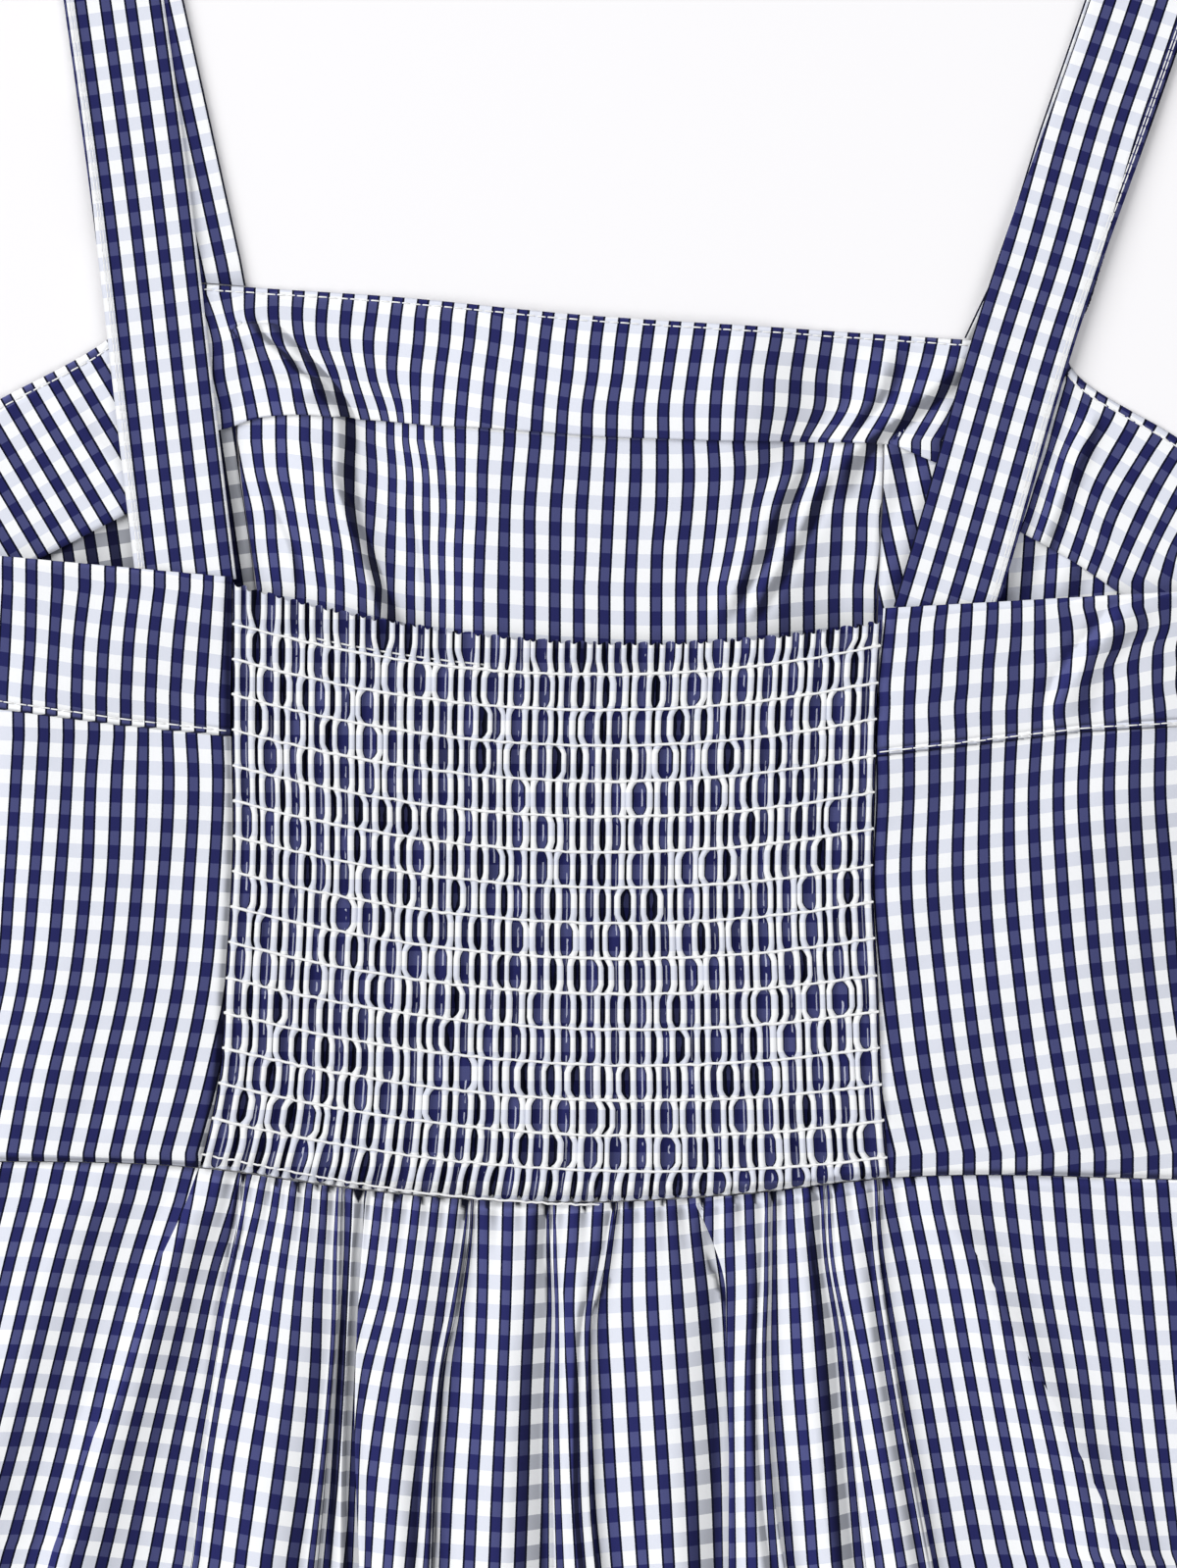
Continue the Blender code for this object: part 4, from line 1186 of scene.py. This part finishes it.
def painted_gap_shade(x, level):
    """Share of painted shade, from 0 to 1, at x in millimetres and level below the seam: the gaps between
    gathers and the deep shadows beside folds.
    """
    px = pixel(x, 0)[0]
    dark = 0 * px
    for place, wide, deep in PHOTO_GAPS:
        reach = max(1 + level / (deep + 1.3), 0.0)
        beside = abs(px - place)
        dark = np.maximum(dark, (reach > 0) * (1 - step(beside, 0.6 * wide * reach, wide * reach + 0.8)))
    dark = dark * (level > -7)
    py = pixel(x, between(waist_y(x), level, step(level, 0, -30)) if level > -30 else level)[1]
    for left, top, right, bottom, wide in PHOTO_SHADOWS:
        share = (py - top) / (bottom - top)
        beside = abs(px - between(left, right, share))
        inside = step(share, 0.0, 0.25) * (1 - step(share, 0.75, 1.0))
        dark = np.maximum(dark, 0.8 * inside * (1 - step(beside, 0.3 * wide, 0.75 * wide)))
    return dark


def skirt_borders(y):
    """x of the skirt's edge, soft ridge, folds, soft ridge and edge at height y."""
    left, right = skirt_edges(y / HEM_LOW, 1.5)
    lines = [fold_line(PHOTO_FOLDS[name][0], FOLD_HEM_X[name], y) for name in FOLDS]
    ridges = [fold_line(PHOTO_RIDGE_LEFT, RIDGE_HEM_X[0], y), fold_line(PHOTO_RIDGE_RIGHT, RIDGE_HEM_X[1], y)]
    return [float(value) for value in [left, ridges[0], *lines, ridges[1], right]]


def fold_rise(y):
    return float(np.interp(-y, [-row[0] for row in FOLD_RISE], [row[1] for row in FOLD_RISE]))


def fold_halves(borders, rise):
    """Half the width that each fold's turn takes."""
    halves = [0.0] * len(borders)
    for k in range(2, len(borders) - 2):
        gap = min(borders[k] - borders[k - 1], borders[k + 1] - borders[k])
        halves[k] = min(0.32 * gap, 0.55 * rise + 0.4)
    return halves


def fold_tuck(k, y):
    """How far the cloth goes back under the edge of the fold at border k."""
    deep = float(np.interp(-y, [0, 12, 60, 690], [0.25, 0.6, 1, 1.8]))
    return PHOTO_FOLDS[FOLDS[k - 2]][2] * deep


def stripes_here(k, x, y, counts):
    """Cloth coordinate in the stretch right of border k, between its guide stripes."""
    seen_y = max(min(y, FIRST_LEVEL), STRIPE_LEVEL)
    photo_y = pixel(0, seen_y)[1]
    if y < STRIPE_LEVEL:
        # Below the photo the stripes fan out with the folds, and stay parallel beside the ridges
        borders, seen = skirt_borders(y), skirt_borders(STRIPE_LEVEL)
        if k == 0:
            x = x - borders[1] + seen[1]
        elif k == len(borders) - 2:
            x = x - borders[-2] + seen[-2]
        else:
            x = between(seen[k], seen[k + 1], (x - borders[k]) / (borders[k + 1] - borders[k]))
    numbers = np.array([row[0] for row in PHOTO_SKIRT[k]], float)
    lines = [at(float(bend(list(zip(PHOTO_SKIRT_LEVELS, row[1:])), photo_y)), 0)[0] for row in PHOTO_SKIRT[k]]
    if y > seen_y:
        above = (y - seen_y) / (FIRST_LEVEL - SECOND_LEVEL)
        lines = [line + (line - at(row[2], 0)[0]) * above * 0.8 for line, row in zip(lines, PHOTO_SKIRT[k])]
    lines = np.array(lines)
    i = np.clip(np.searchsorted(lines, x) - 1, 0, len(lines) - 2)
    share = (x - lines[i]) / (lines[i + 1] - lines[i])
    return numbers[i] + share * (numbers[i + 1] - numbers[i]) + counts[k]


def stretch_counts():
    borders = skirt_borders(STRIPE_LEVEL)
    rise = fold_rise(STRIPE_LEVEL)
    halves = fold_halves(borders, rise)
    counts = [0]
    for k in range(1, len(borders) - 1):
        folded = 0
        if halves[k]:
            folded = 2 * halves[k] + 3.2 * fold_tuck(k, STRIPE_LEVEL) + 0.5 * rise
        before = stripes_here(k - 1, borders[k] - halves[k], STRIPE_LEVEL, counts)
        after = stripes_here(k, borders[k] + halves[k], STRIPE_LEVEL, counts + [0])
        counts.append(math.ceil(before + folded / CHECK - after - (0.0 if halves[k] else 0.5)))
    return counts


def skirt_back():
    near_seam, in_photo = np.linspace(0, 20, 34), np.linspace(21.5, 110, 66)
    below = np.linspace(118, -HEM_LOW, 40)
    down = np.concatenate([near_seam, in_photo, below]) / -HEM_LOW
    q = np.linspace(-1, 1, FOLD_COLUMNS + 2)[1:-1]
    counts = stretch_counts()
    rows, cloth_rows, gap_rows = [], [], []
    for b in down:
        level = between(0.0, HEM_LOW, b)
        borders = skirt_borders(level)
        rise = fold_rise(level)
        halves = fold_halves(borders, rise)
        soft = float(np.interp(-level, [0, 12, 40, 106, 690], [0.6, 2.2, 3.0, 3.2, 5.0]))
        steep = between(2.6, 9, min(level / HEM_LOW, 1))
        gentle = between(9, 24, min(-level / 300, 1))
        last = len(borders) - 2
        heights = [0.95 * rise if 1 < k < last - 1 and k % 2 == 0 else 0.1 * rise for k in range(last + 1)]
        x_all, z_all, u_all = [], [], []
        for k in range(last + 1):
            t = np.linspace(0, 1, STRETCH_COLUMNS)
            x = between(borders[k] + halves[k], borders[k + 1] - halves[k + 1], t)
            z = np.full_like(x, heights[k])
            if k < 2:
                away = x - borders[1] - steep
                z += soft * np.where(away < 0, bell(away, 0, steep), bell(away, 0, gentle))
                z += 0.6 * soft * bell(x, borders[1] - SWELL_AWAY, SWELL_WIDTH)
            elif k > last - 2:
                away = x - borders[-2] + steep
                flank = between(8, 18, min(-level / 300, 1))
                z += soft * np.where(away < 0, bell(away, 0, gentle), bell(away, 0, flank))
            else:
                z += (0.3 if k % 2 == 0 else 0.62) * rise * np.sin(np.pi * t) * (1 - 0.35 * np.cos(np.pi * t))
            if k > 0 and not halves[k]:
                x[0] += 0.001
            x_all.append(x)
            z_all.append(z)
            u_all.append(stripes_here(k, x, level, counts))
            if not halves[k + 1]:
                continue
            edge, w, tuck = borders[k + 1], halves[k + 1], fold_tuck(k + 1, level)
            side = PHOTO_FOLDS[FOLDS[k - 1]][1]
            hold = 1 - q**4
            x = edge + side * (w * q - tuck * np.sin(np.pi * q) + (tuck - 0.5 * w) * hold)
            z = between(min(heights[k:k + 2]), max(heights[k:k + 2]), step(q, -0.62, 0.62))
            if side < 0:
                x, z = x[::-1], z[::-1]
            path_x = np.concatenate([[edge - w], x, [edge + w]])
            path_z = np.concatenate([[heights[k]], z, [heights[k + 1]]])
            run = np.concatenate([[0], np.cumsum(np.hypot(np.diff(path_x), np.diff(path_z)))])
            start = stripes_here(k, edge - w, level, counts)
            end = stripes_here(k + 1, edge + w, level, counts)
            x_all.append(x)
            z_all.append(z)
            u_all.append(between(start, end, run[1:-1] / run[-1]))
        x, z, u = (np.concatenate(part) for part in (x_all, z_all, u_all))
        # Far below the photo the stripes between the ridges are evenly spaced along the cloth
        inner = slice(STRETCH_COLUMNS, -STRETCH_COLUMNS)
        run = np.concatenate([[0], np.cumsum(np.hypot(np.diff(x[inner]), np.diff(z[inner])))])
        even = between(u[inner][0], u[inner][-1], run / run[-1])
        u[inner] = between(u[inner], even, step(level, STRIPE_LEVEL, EVEN_LEVEL))
        y = between(waist_y(x) - SEAM_GAP / 2, hem_y(x) + 2.5, b)
        gather = 0.55 * np.sin(2 * np.pi * u + 0.7) + 0.35 * np.sin(2 * np.pi * u * 0.53)
        gathered = step(x, -100, -90) * (1 - step(x, 88, 98))
        z += gather * gathered * math.exp(level / 11)
        # The gathered edge puffs up below the seam and turns down into it
        z += (0.5 + 1.3 * gathered) * math.exp(level / 7)
        z -= (1.0 + 1.9 * gathered) * math.exp(-((level / 1.3) ** 2))
        rows.append(np.stack([x, y, CLOTH + LAY_GAP + 0.6 + z], axis=-1))
        gap_rows.append(painted_gap_shade(x, level))
        v = skirt_check_down(x, y)
        cloth_rows.append(np.stack([u, v], axis=-1))
    points, cloth = np.array(rows), np.array(cloth_rows)
    # The cut has the full width of every row, which fans out more than its stripes towards the hem
    steps = np.linalg.norm(np.diff(points, axis=1), axis=2)
    run = np.pad(np.cumsum(steps, axis=1), ((0, 0), (1, 0))) / CHECK
    return cloth_piece("skirt_back_cloth", points, cloth, "gingham", "skirt_back",
                       wall=None, gaps=np.array(gap_rows))


def skirt_front():
    def place(a, b):
        left, right = skirt_edges(b)
        x = between(left, right, a)
        return x, between(waist_y(x) - SEAM_GAP / 2, hem_y(x), b), 0 * a + LIFT
    points = grid(np.linspace(0, 1, 80), np.linspace(0, 1, 70), place)
    x, y = points[..., 0], points[..., 1]
    u, v = x / CHECK, y / CHECK_LONG
    return cloth_piece("skirt_front_cloth", points, np.stack([u, -v], -1), "gingham",
                       "skirt_front")


# Everything together

front_centre()
facing_neck()
for name, node, armhole, corner_x, underarm, waist_side, away in (
        ("side_front_left_cloth", "front_side_left", ARMHOLE_LEFT, NECK_LEFT, UNDERARM_LEFT, WAIST_LEFT, -1),
        ("side_front_right_cloth", "front_side_right", ARMHOLE_RIGHT, NECK_RIGHT, UNDERARM_RIGHT,
         WAIST_RIGHT, 1)):
    front_side(name, node, armhole, corner_x, underarm, waist_side, away)
armhole_facing("facing_left_cloth", "facing_armhole_left", ARMHOLE_LEFT, FACING_TOP_LEFT, UNDERARM_LEFT, -1)
armhole_facing("facing_right_cloth", "facing_armhole_right", ARMHOLE_RIGHT, FACING_TOP_RIGHT,
               UNDERARM_RIGHT, 1)
back_side("side_back_left_cloth", "back_side_left", SHIRRED_LEFT, BACK_TOP_LEFT, UNDERARM_LEFT,
          WAIST_LEFT, -1,
          PHOTO_SIDE_LEFT, PHOTO_SIDE_LEFT_NUMBERS, PHOTO_BAND_LEFT, PHOTO_SIDE_WEFTS["left"])
back_side("side_back_right_cloth", "back_side_right", SHIRRED_RIGHT, BACK_TOP_RIGHT, UNDERARM_RIGHT,
          WAIST_RIGHT, 1,
          PHOTO_SIDE_RIGHT, PHOTO_SIDE_RIGHT_NUMBERS, PHOTO_BAND_RIGHT, PHOTO_SIDE_WEFTS["right"])
back_shirred()
strap("left")
strap("right")
skirt_front()
skirt_back()


# Stitching

def on_surface(points, px, py):
    """Points of a grid nearest to photo places: a line for stitches to lie on."""
    x, y = at(np.asarray(px, float), np.asarray(py, float))
    flat = points.reshape(-1, 3)
    spots = []
    for a, b in zip(x, y):
        near = ((flat[:, 0] - a) ** 2 + (flat[:, 1] - b) ** 2).argmin()
        spots.append((a, b, flat[near, 2]))
    return np.array(spots)


def along_edge(points, inset, columns=False):
    """A line of the grid's own points, inset from its first row (or column) by a distance."""
    grid_points = points.transpose(1, 0, 2) if columns else points
    away = np.hypot(*(grid_points[..., :2] - grid_points[:1, :, :2]).transpose(2, 0, 1))
    spots = []
    for k in range(grid_points.shape[1]):
        run = away[:, k]
        stop = int(run.argmax()) + 1
        spots.append([np.interp(inset, run[:stop], grid_points[:stop, k, axis]) for axis in range(3)])
    return np.array(spots)


WALL_TOP = POPLIN            # stitches lie on the outer face of the cloth
seams = []
neck = along_edge(EDGES["neck"], 1.25)
seams += stitches(neck + (0, 0, WALL_TOP), EDGE_STITCH, 31)
for name in ("facing_left_cloth", "facing_right_cloth"):
    seams += stitches(along_edge(EDGES[name], 2.0) + (0, 0, WALL_TOP), EDGE_STITCH, 32)
xs = np.arange(-6, 237, 3.0)
left_band = on_surface(EDGES["side_back_left_cloth"], xs, np.interp(xs, *np.array(PHOTO_BAND_LEFT).T)
                       - np.interp(xs, (0, 236), (7, 4)))
seams += stitches(left_band + (0, 0, WALL_TOP + 0.15), BAND_STITCH, 33)
xs = np.arange(894, 1215, 3.0)
right_band = on_surface(EDGES["side_back_right_cloth"], xs, np.interp(xs, *np.array(PHOTO_BAND_RIGHT).T) - 3)
seams += stitches(right_band + (0, 0, WALL_TOP + 0.15), BAND_STITCH, 34)
for side in ("left", "right"):
    strap_points = EDGES["strap_" + side]
    outer = strap_points if side == "left" else strap_points[:, ::-1]
    for inset in (1.5, 2.3):
        seams += stitches(along_edge(outer, inset, columns=True) + (0, 0, 1.0), STRAP_STITCH, 35)
# One more row of thread runs along the waist seam, on the left
PHOTO_WAIST_THREAD = [(207, 1176), (250, 1184), (290, 1192), (350, 1203), (420, 1214), (490, 1221),
                      (560, 1226), (620, 1228)]
x, y = at(*np.array(PHOTO_WAIST_THREAD).T)
waist_run = np.linspace(0, 1, 90)
x, y = np.interp(waist_run, np.linspace(0, 1, len(x)), x), np.interp(waist_run, np.linspace(0, 1, len(y)), y)
y += 0.12 * np.sin(x * 0.9) + 0.1 * np.sin(x * 2.3)
z = back_base(y) + 1.5 + 0.35 * np.sin(x * 1.8) - 2.0 * bell(waist_run, 1, 0.04)
seams.append(tube(np.stack([x, y, z], axis=-1), 0.3, 6, 0.8))
thread_piece("seam_stitches", seams)


# Floor, light and camera

def floor():
    mesh = bpy.data.meshes.new("floor")
    corners = [(-1, -1), (1, -1), (1, 1), (-1, 1)]
    mesh.from_pydata([(x * FLOOR_HALF, y * FLOOR_HALF, FLOOR_Z) for x, y in corners], [], [(0, 1, 2, 3)])
    n = Nodes("floor_paint")
    n.shader.inputs["Base Color"].default_value = FLOOR_COLOUR
    n.shader.inputs["Roughness"].default_value = 0.9
    n.shader.inputs["Specular IOR Level"].default_value = 0.1
    mesh.materials.append(n.material)
    plane = bpy.data.objects.new("floor", mesh)
    bpy.context.scene.collection.objects.link(plane)


def area_light(name, place, aim, size, watts):
    data = bpy.data.lights.new(name, "AREA")
    data.shape = "DISK"
    data.size = size
    data.energy = watts
    lamp = bpy.data.objects.new(name, data)
    bpy.context.scene.collection.objects.link(lamp)
    lamp.location = place
    way = np.array(place) - np.array(aim)
    yaw = math.atan2(way[1], way[0])
    pitch = math.atan2(math.hypot(way[0], way[1]), way[2])
    lamp.rotation_euler = (0, pitch, yaw)
    return lamp


floor()
area_light("key", KEY_PLACE, KEY_AIM, KEY_SIZE, KEY_WATTS)
area_light("fill", FILL_PLACE, KEY_AIM, FILL_SIZE, FILL_WATTS)

world = bpy.data.worlds.new("studio")
bpy.context.scene.world = world
world.use_nodes = True
world.node_tree.nodes["Background"].inputs["Color"].default_value = SKY_COLOUR
world.node_tree.nodes["Background"].inputs["Strength"].default_value = SKY_STRENGTH

CAMERA_HEIGHT = 1.5
camera_data = bpy.data.cameras.new("camera")
camera_data.sensor_width = 36
camera_data.sensor_fit = "AUTO"
camera_data.lens = 36 * CAMERA_HEIGHT / (PHOTO_SIZE[1] * PIXEL * MM)
camera = bpy.data.objects.new("camera", camera_data)
middle_x, middle_y = at(PHOTO_SIZE[0] / 2, PHOTO_SIZE[1] / 2)
camera.location = (middle_x * MM, (middle_y + SHIFT_Y) * MM, CAMERA_HEIGHT)
bpy.context.scene.collection.objects.link(camera)
bpy.context.scene.camera = camera
bpy.context.scene.view_settings.view_transform = "Standard"
bpy.context.scene.view_settings.exposure = 0.0
